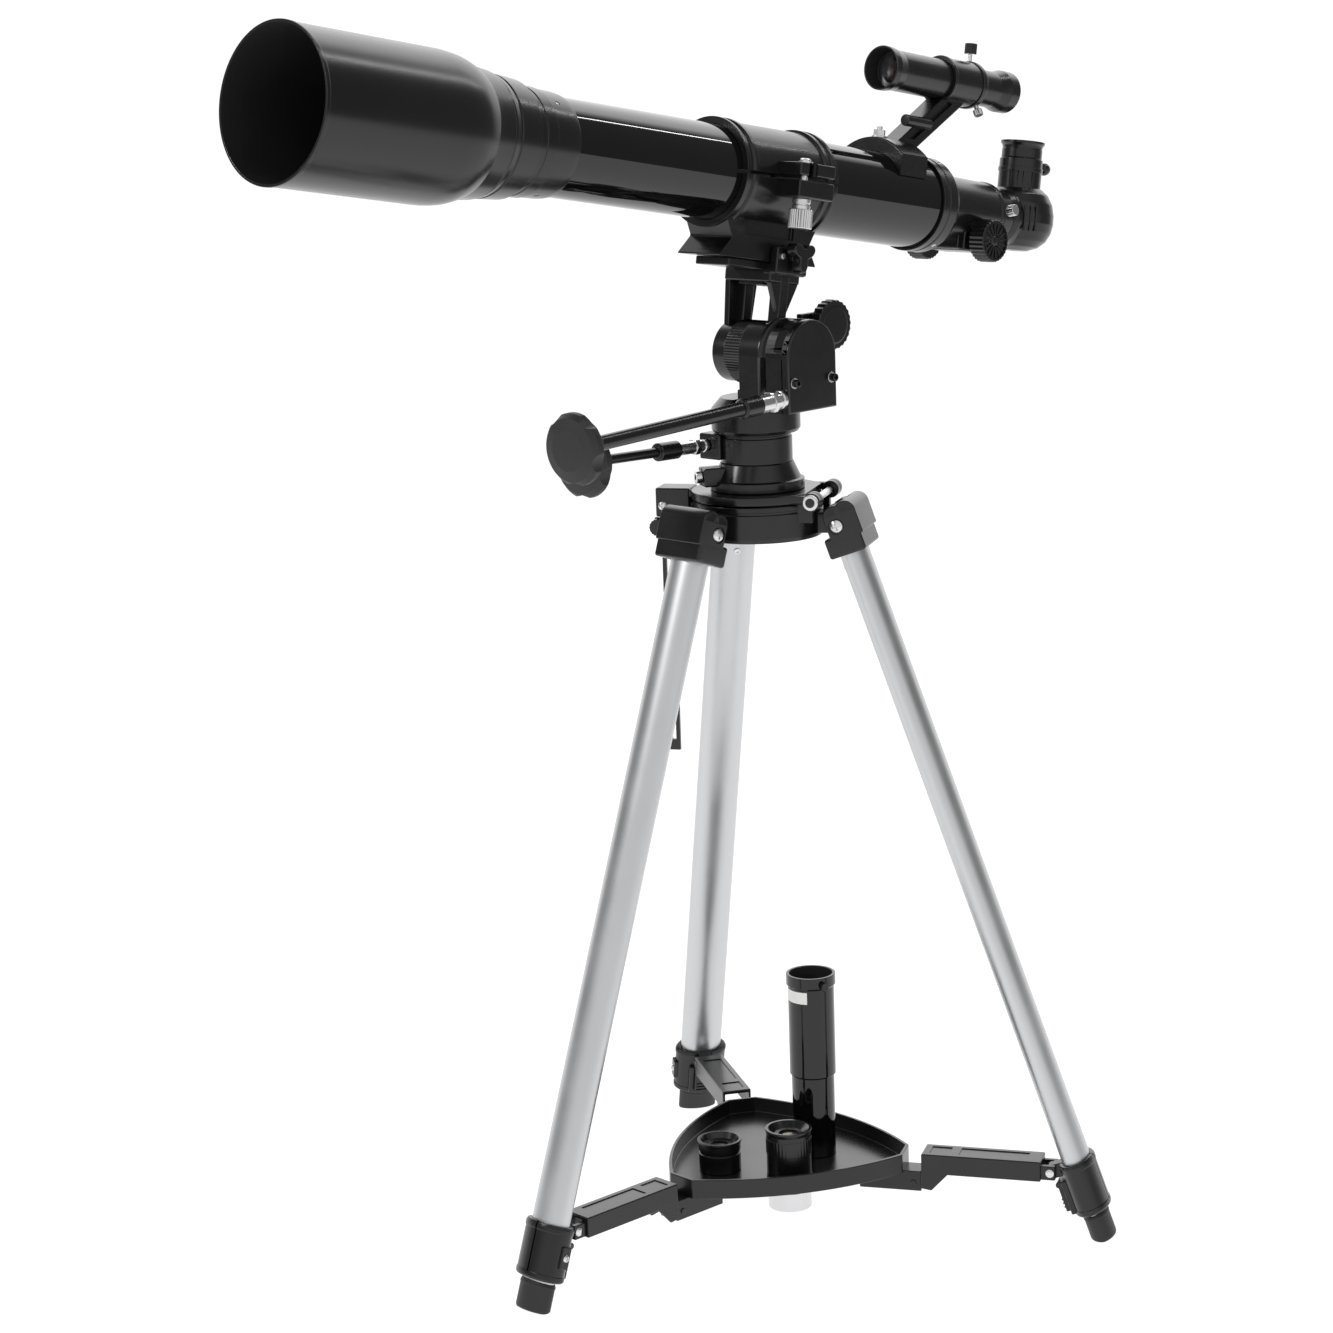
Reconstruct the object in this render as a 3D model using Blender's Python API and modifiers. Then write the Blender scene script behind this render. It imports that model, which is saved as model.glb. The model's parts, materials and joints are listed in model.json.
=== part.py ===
"""Refractor telescope on a tilting slow-motion head and an aluminium tripod.

Frame: Z up, ground at Z = 0, the tube points along -Y and 9.9 degrees up.
Sizes are in millimetres and are turned into metres by MM.
"""
import math

import bmesh
import bpy
from mathutils import Euler, Matrix, Vector

MM = 0.001
GAP = 0.3

# The azimuth axis meets the ground here; the whole object's box is centred on the origin
STAND_CENTRE = (-5.4, 45.4)

# Tripod
LEG_AZIMUTHS = {"front": 267.3, "right": 27.3, "rear": 147.3}
LEG_PIVOT_RADIUS = 63.0
LEG_PIVOT_HEIGHT = 529.0
FOOT_RADIUS = 247.5
LEG_LEAN = math.atan2(FOOT_RADIUS - LEG_PIVOT_RADIUS, LEG_PIVOT_HEIGHT)
LEG_LENGTH = math.hypot(FOOT_RADIUS - LEG_PIVOT_RADIUS, LEG_PIVOT_HEIGHT)
LEG_HALF_WIDTH = 16.5
LEG_HALF_DEPTH = 10.3
INNER_HALF_WIDTH = 14.2
INNER_HALF_DEPTH = 8.1
CLAMP_TOP = -498.0
CLAMP_BOTTOM = -538.0
INNER_LEG_TOP = -70.0
HUB_RADIUS = 47.0
HUB_BOTTOM = 519.0
HUB_TOP = 545.0
ARM_PIVOT_RADIUS = 209.0
ARM_PIVOT_HEIGHT = 48.0
ARM_INNER_END = 113.4
ARM_HALF_WIDTH = 11.5

# Accessory tray
TRAY_CORNER_RADIUS = 99.5
TRAY_SIDE_RADIUS = 75.3
TRAY_CLIP_HALF = 11.5
TRAY_BOTTOM = 41.0
TRAY_FLOOR = 44.0
TRAY_RIM = 55.5
TRAY_WALL = 2.2
SHORT_EYEPIECE_AT = (-14.0, -47.0)
LONG_EYEPIECE_AT = (34.5, -24.0)
ERECTING_TUBE_AT = (17.4, 24.4)

# Latitude wedge
TILT_AZIMUTH = 27.3
TILT_AXIS_RADIUS = 48.0
TILT_AXIS_HEIGHT = 548.0
PLATE_RADIUS = 48.0
PLATE_BOTTOM = 546.4
PLATE_TOP = 552.4
ROD_PIVOT_RADIUS = 68.6
ROD_PIVOT_HEIGHT = 540.0
ROD_BOTTOM = 356.0

# Azimuth stack
CONE_TOP = 572.0
WORM_RING_RADIUS = 25.8
WORM_RING_TOP = 593.6
CUP_RADIUS = 32.0
CUP_TOP = 611.2
AZIMUTH_WORM = (-25.0, -27.0, 584.7)
AZIMUTH_WORM_RISE = math.radians(1.6)
KNOB_LOBES = 5
FACET_TURN = math.radians(4)

# Altitude axis and tube
ALTITUDE_AXIS = (0.0, 3.3, 650.0)
ALTITUDE_WORM = (46.0, -22.7, 622.0)
ALTITUDE_WORM_RISE = math.radians(-2.4)
HOUSING_HALF_WIDTH = 26.0
DRUM_LEFT = 5.0
DRUM_BACK = -9.0
WHEEL_RADIUS = 23.0
ELEVATION = math.radians(9.9)
TUBE_ABOVE_AXIS = 121.3
TUBE_AHEAD_OF_AXIS = 24.5
TUBE_RADIUS = 33.3
TUBE_FRONT = 225.0
TUBE_REAR = -186.0
MOUTH = 437.0
SHIELD_RADIUS = 51.2
FINDER_HEIGHT = 94.3
SHOE_RADIUS = 44.0
SHOE_HALF_WIDTH = 30.0
FOCUS_AXIS = (-239.0, -21.6)
SADDLE_KNOB = (24.0, -51.5)
DIAGONAL_CENTRE = -312.0

BLACK = (0.012, 0.012, 0.013, 1.0)
GLOSS_BLACK = (0.006, 0.006, 0.007, 1.0)
ALUMINIUM = (0.62, 0.63, 0.64, 1.0)
CHROME = (0.80, 0.80, 0.81, 1.0)
GLASS = (0.55, 0.62, 0.66, 1.0)


def start_scene():
    """Empty the scene, make the two collections, and set the stand's centre in the frame."""
    for thing in list(bpy.data.objects):
        bpy.data.objects.remove(thing, do_unlink=True)
    for name in ("telescope", "cutters"):
        group = bpy.data.collections.new(name)
        bpy.context.scene.collection.children.link(group)
    centre = bpy.data.objects.new("stand_centre", None)
    bpy.data.collections["telescope"].objects.link(centre)
    centre.location = Vector((*STAND_CENTRE, 0)) * MM


def make_material(name, colour, roughness, metallic=0.0):
    material = bpy.data.materials.new(name)
    material.use_nodes = True
    shader = material.node_tree.nodes["Principled BSDF"]
    shader.inputs["Base Color"].default_value = colour
    shader.inputs["Roughness"].default_value = roughness
    shader.inputs["Metallic"].default_value = metallic
    material.diffuse_color = colour
    return material


def add_empty(name, location=(0, 0, 0), rotation=(0, 0, 0), parent=None):
    """A frame that sub-parts hang from, placed in its parent's frame."""
    empty = bpy.data.objects.new(name, None)
    bpy.data.collections["telescope"].objects.link(empty)
    empty.empty_display_size = 0.01
    empty.location = Vector(location) * MM
    empty.rotation_euler = Euler(rotation)
    empty.parent = parent or bpy.data.objects["stand_centre"]
    return empty


def add_object(name, mesh, parent=None, location=(0, 0, 0), rotation=(0, 0, 0)):
    thing = bpy.data.objects.new(name, mesh)
    bpy.data.collections["telescope"].objects.link(thing)
    thing.location = Vector(location) * MM
    thing.rotation_euler = Euler(rotation)
    thing.parent = parent or bpy.data.objects["stand_centre"]
    return thing


def finish_mesh(name, build):
    mesh = bpy.data.meshes.new(name)
    bmesh.ops.recalc_face_normals(build, faces=build.faces)
    build.to_mesh(mesh)
    build.free()
    mesh.shade_smooth()
    mesh.set_sharp_from_angle(angle=math.radians(32))
    return mesh


def box(name, low, high, parent=None, location=(0, 0, 0), rotation=(0, 0, 0)):
    """A block between two corners of its own frame."""
    build = bmesh.new()
    bmesh.ops.create_cube(build, size=1.0)
    size = [(b - a) * MM for a, b in zip(low, high)]
    middle = [(a + b) / 2 * MM for a, b in zip(low, high)]
    bmesh.ops.scale(build, vec=size, verts=build.verts)
    bmesh.ops.translate(build, vec=middle, verts=build.verts)
    return add_object(name, finish_mesh(name, build), parent, location, rotation)


AXIS_TURNS = {
    "Z": Matrix.Identity(4),
    "X": Matrix.Rotation(math.radians(90), 4, "Y"),
    "Y": Matrix.Rotation(math.radians(-90), 4, "X"),
}


def rod(name, radius, start, end, axis="Z", centre=(0, 0), sides=24, parent=None,
        location=(0, 0, 0), rotation=(0, 0, 0)):
    """A cylinder from start to end along one axis of its own frame."""
    build = bmesh.new()
    bmesh.ops.create_cone(build, cap_ends=True, segments=sides, radius1=radius * MM,
                          radius2=radius * MM, depth=(end - start) * MM)
    bmesh.ops.transform(build, matrix=AXIS_TURNS[axis], verts=build.verts)
    middle = {"Z": (centre[0], centre[1], (start + end) / 2),
              "X": ((start + end) / 2, centre[0], centre[1]),
              "Y": (centre[0], (start + end) / 2, centre[1])}[axis]
    bmesh.ops.translate(build, vec=Vector(middle) * MM, verts=build.verts)
    return add_object(name, finish_mesh(name, build), parent, location, rotation)


def oval(name, half_depth, half_width, start, end, parent=None, sides=18):
    """An upright elliptical bar, half_depth along X and half_width along Y."""
    build = bmesh.new()
    bmesh.ops.create_cone(build, cap_ends=True, segments=sides, radius1=MM, radius2=MM,
                          depth=(end - start) * MM)
    bmesh.ops.scale(build, vec=(half_depth, half_width, 1.0), verts=build.verts)
    bmesh.ops.translate(build, vec=(0, 0, (start + end) / 2 * MM), verts=build.verts)
    return add_object(name, finish_mesh(name, build), parent)


def turned(name, outline, sides=20, parent=None, location=(0, 0, 0), rotation=(0, 0, 0)):
    """A shape of revolution about its Z axis from (radius, height) points, top to bottom."""
    mesh = bpy.data.meshes.new(name)
    points = [(radius * MM, 0.0, height * MM) for radius, height in outline]
    following = list(range(1, len(points))) + [0]
    edges = [(here, there) for here, there in enumerate(following)
             if outline[here][0] > 0 or outline[there][0] > 0]
    mesh.from_pydata(points, edges, [])
    thing = add_object(name, mesh, parent, location, rotation)
    screw = thing.modifiers.new("turn", "SCREW")
    screw.axis = "Z"
    screw.steps = sides
    screw.render_steps = sides
    screw.use_merge_vertices = True
    screw.merge_threshold = 0.00001
    screw.use_smooth_shade = True
    return thing


def along_tube(name, outline, parent, sides=20, location=(0, 0, 0)):
    """A turned shape on an axis that points forward along -Y: heights are forward distances."""
    return turned(name, outline, sides, parent, location, (math.radians(90), 0, 0))


def plate(name, points, start, end, parent=None, location=(0, 0, 0), rotation=(0, 0, 0)):
    """A flat outline in XY, raised from start to end along Z: a 2D curve made into a mesh."""
    curve = bpy.data.curves.new(name, "CURVE")
    curve.dimensions = "2D"
    curve.fill_mode = "BOTH"
    curve.extrude = (end - start) / 2 * MM
    spline = curve.splines.new("POLY")
    spline.points.add(len(points) - 1)
    for point, (x, y) in zip(spline.points, points):
        point.co = (x * MM, y * MM, 0, 1)
    spline.use_cyclic_u = True
    outline = add_object(name + "_outline", curve)
    bpy.context.view_layer.update()
    solid = bpy.data.meshes.new_from_object(outline.evaluated_get(
        bpy.context.evaluated_depsgraph_get()))
    bpy.data.objects.remove(outline, do_unlink=True)
    build = bmesh.new()
    build.from_mesh(solid)
    bpy.data.meshes.remove(solid)
    bmesh.ops.remove_doubles(build, verts=build.verts, dist=0.00001)
    bmesh.ops.translate(build, vec=(0, 0, (start + end) / 2 * MM), verts=build.verts)
    return add_object(name, finish_mesh(name, build), parent, location, rotation)


def as_cutter(thing):
    bpy.data.collections["telescope"].objects.unlink(thing)
    bpy.data.collections["cutters"].objects.link(thing)
    thing.hide_render = True
    thing.display_type = "WIRE"


def combine(thing, other, operation):
    as_cutter(other)
    step = thing.modifiers.new(operation.lower(), "BOOLEAN")
    step.operation = operation
    step.solver = "EXACT"
    step.object = other


def join(thing, *others):
    for other in others:
        combine(thing, other, "UNION")


def cut(thing, *others):
    for other in others:
        combine(thing, other, "DIFFERENCE")


def paint(material, *things):
    for thing in things:
        thing.data.materials.clear()
        thing.data.materials.append(material)


def radial_frame(name, azimuth):
    """A frame on the Z axis whose X points outward at an azimuth in degrees."""
    return add_empty(name, rotation=(0, 0, math.radians(azimuth)))


# Tripod ---------------------------------------------------------------------------------

def make_hub(black):
    """The tripod's crown: a cup-shaped ring with three leg lugs and two hinge ears."""
    hub = turned("hub", [(HUB_RADIUS, HUB_TOP), (HUB_RADIUS, HUB_BOTTOM), (40, HUB_BOTTOM),
                         (40, 538), (6, 538), (6, HUB_TOP)], 28)
    for side, azimuth in LEG_AZIMUTHS.items():
        frame = radial_frame("hub_frame_" + side, azimuth)
        join(hub, box("lug_" + side, (42, -9, 521.5), (LEG_PIVOT_RADIUS, 9, 536.5), frame),
             rod("lug_end_" + side, 7.5, -9, 9, "Y", (LEG_PIVOT_RADIUS, LEG_PIVOT_HEIGHT), 12,
                 frame))
        cut(hub, rod("lug_bore_" + side, 3.4, -12, 12, "Y",
                     (LEG_PIVOT_RADIUS, LEG_PIVOT_HEIGHT), 8, frame))
    wedge = radial_frame("hub_wedge_frame", TILT_AZIMUTH)
    for number, side in enumerate((-1, 1)):
        low, high = sorted((side * 23.3, side * 29.0))
        join(hub, box(f"ear_base_{number}", (32, low, 532), (47.3, high, 546), wedge),
             rod(f"ear_end_{number}", 6.3, low, high, "Y", (TILT_AXIS_RADIUS, TILT_AXIS_HEIGHT),
                 16, wedge))
        cut(hub, rod(f"ear_bore_{number}", 3.0, low - 2, high + 2, "Y",
                     (TILT_AXIS_RADIUS, TILT_AXIS_HEIGHT), 12, wedge))
    back = radial_frame("rod_bracket_frame", TILT_AZIMUTH + 180)
    join(hub, box("rod_bracket", (44, 3.0, 520), (76, 8.5, 531), back))
    cut(hub, rod("rod_screw_bore", 2.6, 0, 12, "Y", (72, 524.5), 12, back))
    paint(black, hub)


def leg_frame(side):
    azimuth = math.radians(LEG_AZIMUTHS[side])
    at = (LEG_PIVOT_RADIUS * math.cos(azimuth), LEG_PIVOT_RADIUS * math.sin(azimuth),
          LEG_PIVOT_HEIGHT)
    return add_empty("leg_frame_" + side, at, (0, -LEG_LEAN, azimuth))


def make_leg_top(side, frame, black):
    """The black head of a leg: two cheeks over the hub's lug and a socket for the tube."""
    top = box("leg_top_" + side, (-13, -22.5, -22), (15, 22.5, -7), frame)
    join(top, box("cheeks_" + side, (-8, -22.5, -10), (17, 22.5, 9), frame),
         rod("cheek_crown_" + side, 8, -22.4, 22.4, "Y", (9, 8), 14, frame),
         rod("cheek_back_" + side, 8, -22.4, 22.4, "Y", (0, 7), 14, frame))
    cut(top, box("cheek_slot_" + side, (-20, -9.4, -8), (9.5, 9.4, 30), frame),
        oval("tube_socket_" + side, LEG_HALF_DEPTH + GAP, LEG_HALF_WIDTH + GAP, -30, -11.7,
             frame),
        rod("cheek_bore_" + side, 3.4, -30, 30, "Y", (0, 0), 8, frame))
    paint(black, top)


def make_leg_tubes(side, frame, metal, black):
    """The outer leg tube, the inner leg that slides in it, and the foot."""
    outer = oval("leg_tube_" + side, LEG_HALF_DEPTH, LEG_HALF_WIDTH, -520, -12, frame)
    cut(outer, oval("leg_hollow_" + side, LEG_HALF_DEPTH - 1.5, LEG_HALF_WIDTH - 1.5, -530, 0,
                    frame))
    inner = oval("inner_leg_" + side, INNER_HALF_DEPTH, INNER_HALF_WIDTH, -545.7,
                 INNER_LEG_TOP, frame)
    cut(inner, oval("inner_hollow_" + side, INNER_HALF_DEPTH - 1.5, INNER_HALF_WIDTH - 1.5,
                    -560, 0, frame))
    foot = oval("foot_" + side, INNER_HALF_DEPTH + 1.1, INNER_HALF_WIDTH + 1.1, -LEG_LENGTH - 1,
                CLAMP_BOTTOM - 1.5, frame)
    cut(foot, oval("foot_socket_" + side, INNER_HALF_DEPTH + GAP, INNER_HALF_WIDTH + GAP, -546,
                   -500, frame),
        box("ground_" + side, (-400, -400, -60), (400, 400, 0)))
    paint(metal, outer, inner)
    paint(black, foot)


def make_leg_clamp(side, frame, black):
    """The collar at the foot of the outer tube, its brace lug, and its flip lever."""
    clamp = oval("leg_clamp_" + side, 13, 20.5, CLAMP_BOTTOM, CLAMP_TOP, frame)
    join(clamp, box("brace_lug_" + side, (-21, -5.2, -508), (-10, 5.2, -497.5), frame),
         rod("brace_lug_end_" + side, 5, -5.2, 5.2, "Y", (-20.6, -502.3), 12, frame),
         box("lever_seat_" + side, (-14.6, -12, -536), (-8, 12, -510), frame))
    cut(clamp, oval("clamp_bore_" + side, LEG_HALF_DEPTH + GAP, LEG_HALF_WIDTH + GAP, -520.3,
                    -480, frame),
        oval("clamp_throat_" + side, INNER_HALF_DEPTH + GAP, INNER_HALF_WIDTH + GAP, -560,
             -500, frame),
        rod("brace_bore_" + side, 2.2, -9, 9, "Y", (-20.6, -502.3), 8, frame))
    lever = box("leg_lever_" + side, (-18.6, -8, -534), (-15, 8, -513), frame)
    join(lever, rod("lever_root_" + side, 2.4, -8, 8, "Y", (-17.4, -513), 10, frame))
    paint(black, clamp, lever)


def make_brace_arm(side, black):
    """A channel-shaped brace arm, pinned to the clamp's lug at its outer end."""
    frame = radial_frame("brace_frame_" + side, LEG_AZIMUTHS[side])
    arm = box("brace_arm_" + side, (ARM_INNER_END, -ARM_HALF_WIDTH, 41.7),
              (202.5, ARM_HALF_WIDTH, 57), frame)
    join(arm, plate("arm_heel_" + side, [(ARM_INNER_END, 30), (121, 29), (133, 41.7), (133, 45),
                                         (ARM_INNER_END, 45)],
                    -ARM_HALF_WIDTH, ARM_HALF_WIDTH, frame,
                    rotation=(math.radians(90), 0, 0)),
         box("arm_tongue_" + side, (198, -9.2, 42.6), (213, 9.2, 53.4), frame))
    cut(arm, box("arm_channel_" + side, (100, 1.9 - ARM_HALF_WIDTH, 10),
                 (199, ARM_HALF_WIDTH - 1.9, 54.5), frame),
        box("tongue_slot_" + side, (190, -5.5, 10), (230, 5.5, 54.5), frame),
        rod("arm_bore_" + side, 2.2, -20, 20, "Y", (ARM_PIVOT_RADIUS, ARM_PIVOT_HEIGHT), 8,
            frame))
    paint(black, arm)


def polar(radius, azimuth, across=0.0):
    """XY at a radius and azimuth in degrees, moved sideways by across."""
    angle = math.radians(azimuth)
    return (radius * math.cos(angle) - across * math.sin(angle),
            radius * math.sin(angle) + across * math.cos(angle))


def tray_outline(inset=0.0, steps=7):
    """Three clipped corners at the legs, joined by sides that bow outward."""
    corner = TRAY_CORNER_RADIUS - inset
    side_middle = TRAY_SIDE_RADIUS - inset
    clip = TRAY_CLIP_HALF - 0.6 * inset
    points = []
    for azimuth in LEG_AZIMUTHS.values():
        first = Vector(polar(corner, azimuth, clip))
        last = Vector(polar(corner, azimuth + 120, -clip))
        peak = Vector(polar(side_middle, azimuth + 60))
        bow = peak - (first + last) / 2
        points.append(polar(corner, azimuth, -clip))
        points.append(tuple(first))
        for number in range(1, steps):
            share = number / steps
            points.append(tuple(first.lerp(last, share) + bow * 4 * share * (1 - share)))
    return points


def make_tray(black):
    """The accessory tray with its three brace brackets and one eyepiece hole."""
    tray = plate("tray", tray_outline(), TRAY_BOTTOM, TRAY_RIM)
    cut(tray, plate("tray_hollow", tray_outline(TRAY_WALL), TRAY_FLOOR, 80))
    for side, azimuth in LEG_AZIMUTHS.items():
        frame = radial_frame("bracket_frame_" + side, azimuth)
        join(tray, box("bracket_" + side, (66, -9.1, 27), (112.9, 9.1, 42.5), frame))
        cut(tray, box("bracket_channel_" + side, (60, -7.1, 10), (130, 7.1, 39.7), frame))
    cut(tray, rod("eyepiece_hole", 16.4, 20, 60, "Z", LONG_EYEPIECE_AT, 20))
    paint(black, tray)


def make_tray_pieces(black, chrome):
    """The spare eyepieces and the erecting tube that stand in the tray."""
    floor = TRAY_FLOOR + GAP
    short = turned("short_eyepiece", [(16.5, 68), (16.5, 66), (15.6, 64), (15.6, floor),
                                      (0, floor), (0, 64), (12, 64.5), (14.5, 68)], 20,
                   location=(*SHORT_EYEPIECE_AT, 0))
    long_piece = turned("long_eyepiece", [(17.5, 81), (17.2, 78), (16.9, 70), (16.9, floor),
                                          (15.9, floor), (15.9, 20.5), (0, 20.5), (0, 77),
                                          (11, 78), (15.5, 81)], 20,
                        location=(*LONG_EYEPIECE_AT, 0))
    erecting = turned("erecting_tube", [(18.4, 185), (18.4, 176.5), (17.2, 175.5), (17.2, 107),
                                        (15.9, 106), (15.9, floor), (0, floor), (0, 150),
                                        (13.5, 150), (15.9, 155), (15.9, 185)], 20,
                      location=(*ERECTING_TUBE_AT, 0))
    paint(black, short, erecting)
    paint(chrome, long_piece)


# Latitude wedge -------------------------------------------------------------------------

def make_tilt_plate(black):
    """The tilting plate, its two hinge ears and the fin that carries the latitude rod."""
    frame = radial_frame("wedge_frame", TILT_AZIMUTH)
    tilt = turned("tilt_plate", [(PLATE_RADIUS, PLATE_TOP), (PLATE_RADIUS, PLATE_BOTTOM),
                                 (5, PLATE_BOTTOM), (5, PLATE_TOP)], 24)
    cut(tilt, box("hinge_flat", (41.2, -29, 540), (60, 29, 560), frame))
    for number, side in enumerate((-1, 1)):
        low, high = sorted((side * 29.3, side * 35.0))
        join(tilt, box(f"plate_ear_{number}", (18, low, PLATE_BOTTOM + 0.5),
                       (47.3, high, PLATE_TOP - 0.4), frame),
             rod(f"plate_ear_end_{number}", 6.3, low, high, "Y",
                 (TILT_AXIS_RADIUS, TILT_AXIS_HEIGHT), 16, frame))
        cut(tilt, rod(f"plate_ear_bore_{number}", 3.0, low - 2, high + 2, "Y",
                      (TILT_AXIS_RADIUS, TILT_AXIS_HEIGHT), 12, frame))
    join(tilt, box("fin", (-74, -11, 532), (-48.3, 11, 553), frame),
         box("fin_root", (-60, -10.6, PLATE_BOTTOM + 0.6), (-35, 10.6, PLATE_TOP - 0.6), frame))
    cut(tilt, box("rod_slot", (-80, -1.9, 520), (-56, 1.9, 549), frame),
        rod("rod_pin_bore", 2.2, -20, 20, "Y", (-ROD_PIVOT_RADIUS, ROD_PIVOT_HEIGHT), 12, frame))
    paint(black, tilt)


def make_wedge_hardware(chrome, black):
    """The hinge bolt, the latitude rod and the thumb knob of its clamp."""
    frame = radial_frame("bolt_frame", TILT_AZIMUTH)
    bolt = rod("hinge_bolt", 2.5, -36, 36, "Y", (TILT_AXIS_RADIUS, TILT_AXIS_HEIGHT), 16, frame)
    join(bolt, rod("bolt_cap", 5.6, -39.5, -35.4, "Y", (TILT_AXIS_RADIUS, TILT_AXIS_HEIGHT), 16,
                   frame),
         rod("bolt_nut", 5.0, 35.4, 38.5, "Y", (TILT_AXIS_RADIUS, TILT_AXIS_HEIGHT), 6, frame))
    back = radial_frame("rod_frame", TILT_AZIMUTH + 180)
    strip = box("latitude_rod", (ROD_PIVOT_RADIUS - 4.5, -1.5, ROD_BOTTOM),
                (ROD_PIVOT_RADIUS + 4.5, 1.5, ROD_PIVOT_HEIGHT), back)
    join(strip, rod("rod_head", 4.5, -1.5, 1.5, "Y", (ROD_PIVOT_RADIUS, ROD_PIVOT_HEIGHT), 16,
                    back))
    cut(strip, rod("rod_hole", 2.2, -5, 5, "Y", (ROD_PIVOT_RADIUS, ROD_PIVOT_HEIGHT), 12, back),
        box("rod_long_slot", (ROD_PIVOT_RADIUS - 1.6, -5, ROD_BOTTOM + 8),
            (ROD_PIVOT_RADIUS + 1.6, 5, 530), back))
    knob = rod("rod_knob", 6.4, 9.0, 15, "Y", (72, 524.5), 16, back)
    join(knob, rod("rod_knob_screw", 2.2, 3.4, 10, "Y", (72, 524.5), 12, back))
    paint(chrome, bolt, strip)
    paint(black, knob)


# Head -----------------------------------------------------------------------------------

def make_azimuth_stack(black, chrome):
    """The cone on the tilting plate and the worm ring and cup that turn on it."""
    cone = turned("azimuth_base", [(26.4, CONE_TOP), (31.5, 560), (34, 559),
                                   (34, PLATE_TOP + GAP), (4, PLATE_TOP + GAP), (4, CONE_TOP)])
    clamp = radial_frame("azimuth_clamp_frame", -120)
    join(cone, box("cone_clamp_lug", (22, -8, 556.5), (42, 8, 570), clamp))
    cut(cone, rod("cone_clamp_bore", 2.6, 24, 60, "X", (0, 563.5), 12, clamp))
    screw = rod("azimuth_screw", 4.6, 42.4, 47, "X", (0, 563.5), 16, clamp)
    join(screw, rod("azimuth_screw_shank", 2.3, 26, 44, "X", (0, 563.5), 12, clamp))
    ring = turned("worm_ring", [(WORM_RING_RADIUS, WORM_RING_TOP),
                                (WORM_RING_RADIUS, CONE_TOP + GAP), (4, CONE_TOP + GAP),
                                (4, WORM_RING_TOP)])
    join(ring, box("worm_case", (-32, -26.4, 574.5), (-12, 16, WORM_RING_TOP - 0.3)))
    cut(ring, azimuth_worm_bore())
    cup = turned("head_base", [(CUP_RADIUS, CUP_TOP), (CUP_RADIUS, WORM_RING_TOP + GAP),
                               (4, WORM_RING_TOP + GAP), (4, CUP_TOP)])
    shoulder = turned("cup_shoulder", [(0, 619), (26, 619), (CUP_RADIUS - 0.5, CUP_TOP - 1),
                                       (0, CUP_TOP - 1)])
    cut(shoulder, box("shoulder_trim", (1.2, -50, 600), (60, 50, 630)))
    join(cup, shoulder)
    paint(black, cone, ring, cup)
    paint(chrome, screw)


def azimuth_worm_frame(name):
    """A frame on the azimuth worm's axis, its Z pointing out along the shaft."""
    return add_empty(name, AZIMUTH_WORM, (math.radians(90) - AZIMUTH_WORM_RISE, 0, 0))


def altitude_worm_frame(name):
    """A frame on the altitude worm's axis, its Z pointing out along the shaft."""
    return add_empty(name, ALTITUDE_WORM, (math.radians(90) - ALTITUDE_WORM_RISE, 0, 0))


def azimuth_worm_bore():
    return rod("azimuth_worm_bore", 4.4, -26, 20, "Z", (0, 0), 16,
               azimuth_worm_frame("azimuth_bore_frame"))


def make_control(name, frame, stub, sleeve, bar, reach, black, chrome):
    """A worm shaft with its sleeve and bar, and the lobed hand knob on its end.

    stub, sleeve and bar are (radius, start, end) along the shaft; reach is the knob's far side.
    """
    shaft = turned(name + "_shaft", [(0, reach - 14), (bar[0], reach - 14), (bar[0], sleeve[2]),
                                     (sleeve[0], sleeve[2] - 1), (sleeve[0], sleeve[1]),
                                     (stub[0], sleeve[1]), (stub[0], 0.6), (3.8, 0.6),
                                     (3.8, stub[1]), (0, stub[1])], 16, frame)
    knob = turned(name + "_knob", [(12, reach), (22, reach - 1.5), (24.5, reach - 5),
                                   (24.5, reach - 11), (22, reach - 13), (10.5, reach - 14),
                                   (9, reach - 27), (bar[0] + GAP, reach - 27),
                                   (bar[0] + GAP, reach - 13.6), (0, reach - 13.6), (0, reach)],
                  20, frame)
    for number in range(KNOB_LOBES):
        place = polar(32.5, 90 + (number + 0.5) * 360 / KNOB_LOBES)
        cut(knob, rod(f"{name}_scallop_{number}", 11, reach - 20, reach + 5, "Z", place, 10, frame))
    paint(chrome, shaft)
    paint(black, knob)


def make_gear_housing(black):
    """The round-topped altitude gear housing with its side ear for the lock knob."""
    _, axis_y, axis_z = ALTITUDE_AXIS
    front = axis_y - HOUSING_HALF_WIDTH
    rear = axis_y + HOUSING_HALF_WIDTH
    housing = box("gear_housing", (21.3, front + 0.2, CUP_TOP + GAP), (52.3, rear - 0.2, axis_z))
    join(housing, rod("housing_crown", HOUSING_HALF_WIDTH, 21.3, 52.5, "X", (axis_y, axis_z), 28),
         box("housing_foot", (2, front + 1.5, CUP_TOP + GAP + 0.2), (25, rear - 2, 626)),
         box("lock_ear", (21.5, 22, 657.6), (27.0, 45.5, 676.4)),
         rod("lock_ear_end", 10, 21.6, 26.9, "X", (46, 667), 20), make_drum_cover())
    cut(housing, rod("axle_bore", 6.3, 10, 36, "X", (axis_y, axis_z), 16),
        rod("lock_bore", 3.0, 10, 40, "X", (46, 667), 12), altitude_worm_bore())
    paint(black, housing)


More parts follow.
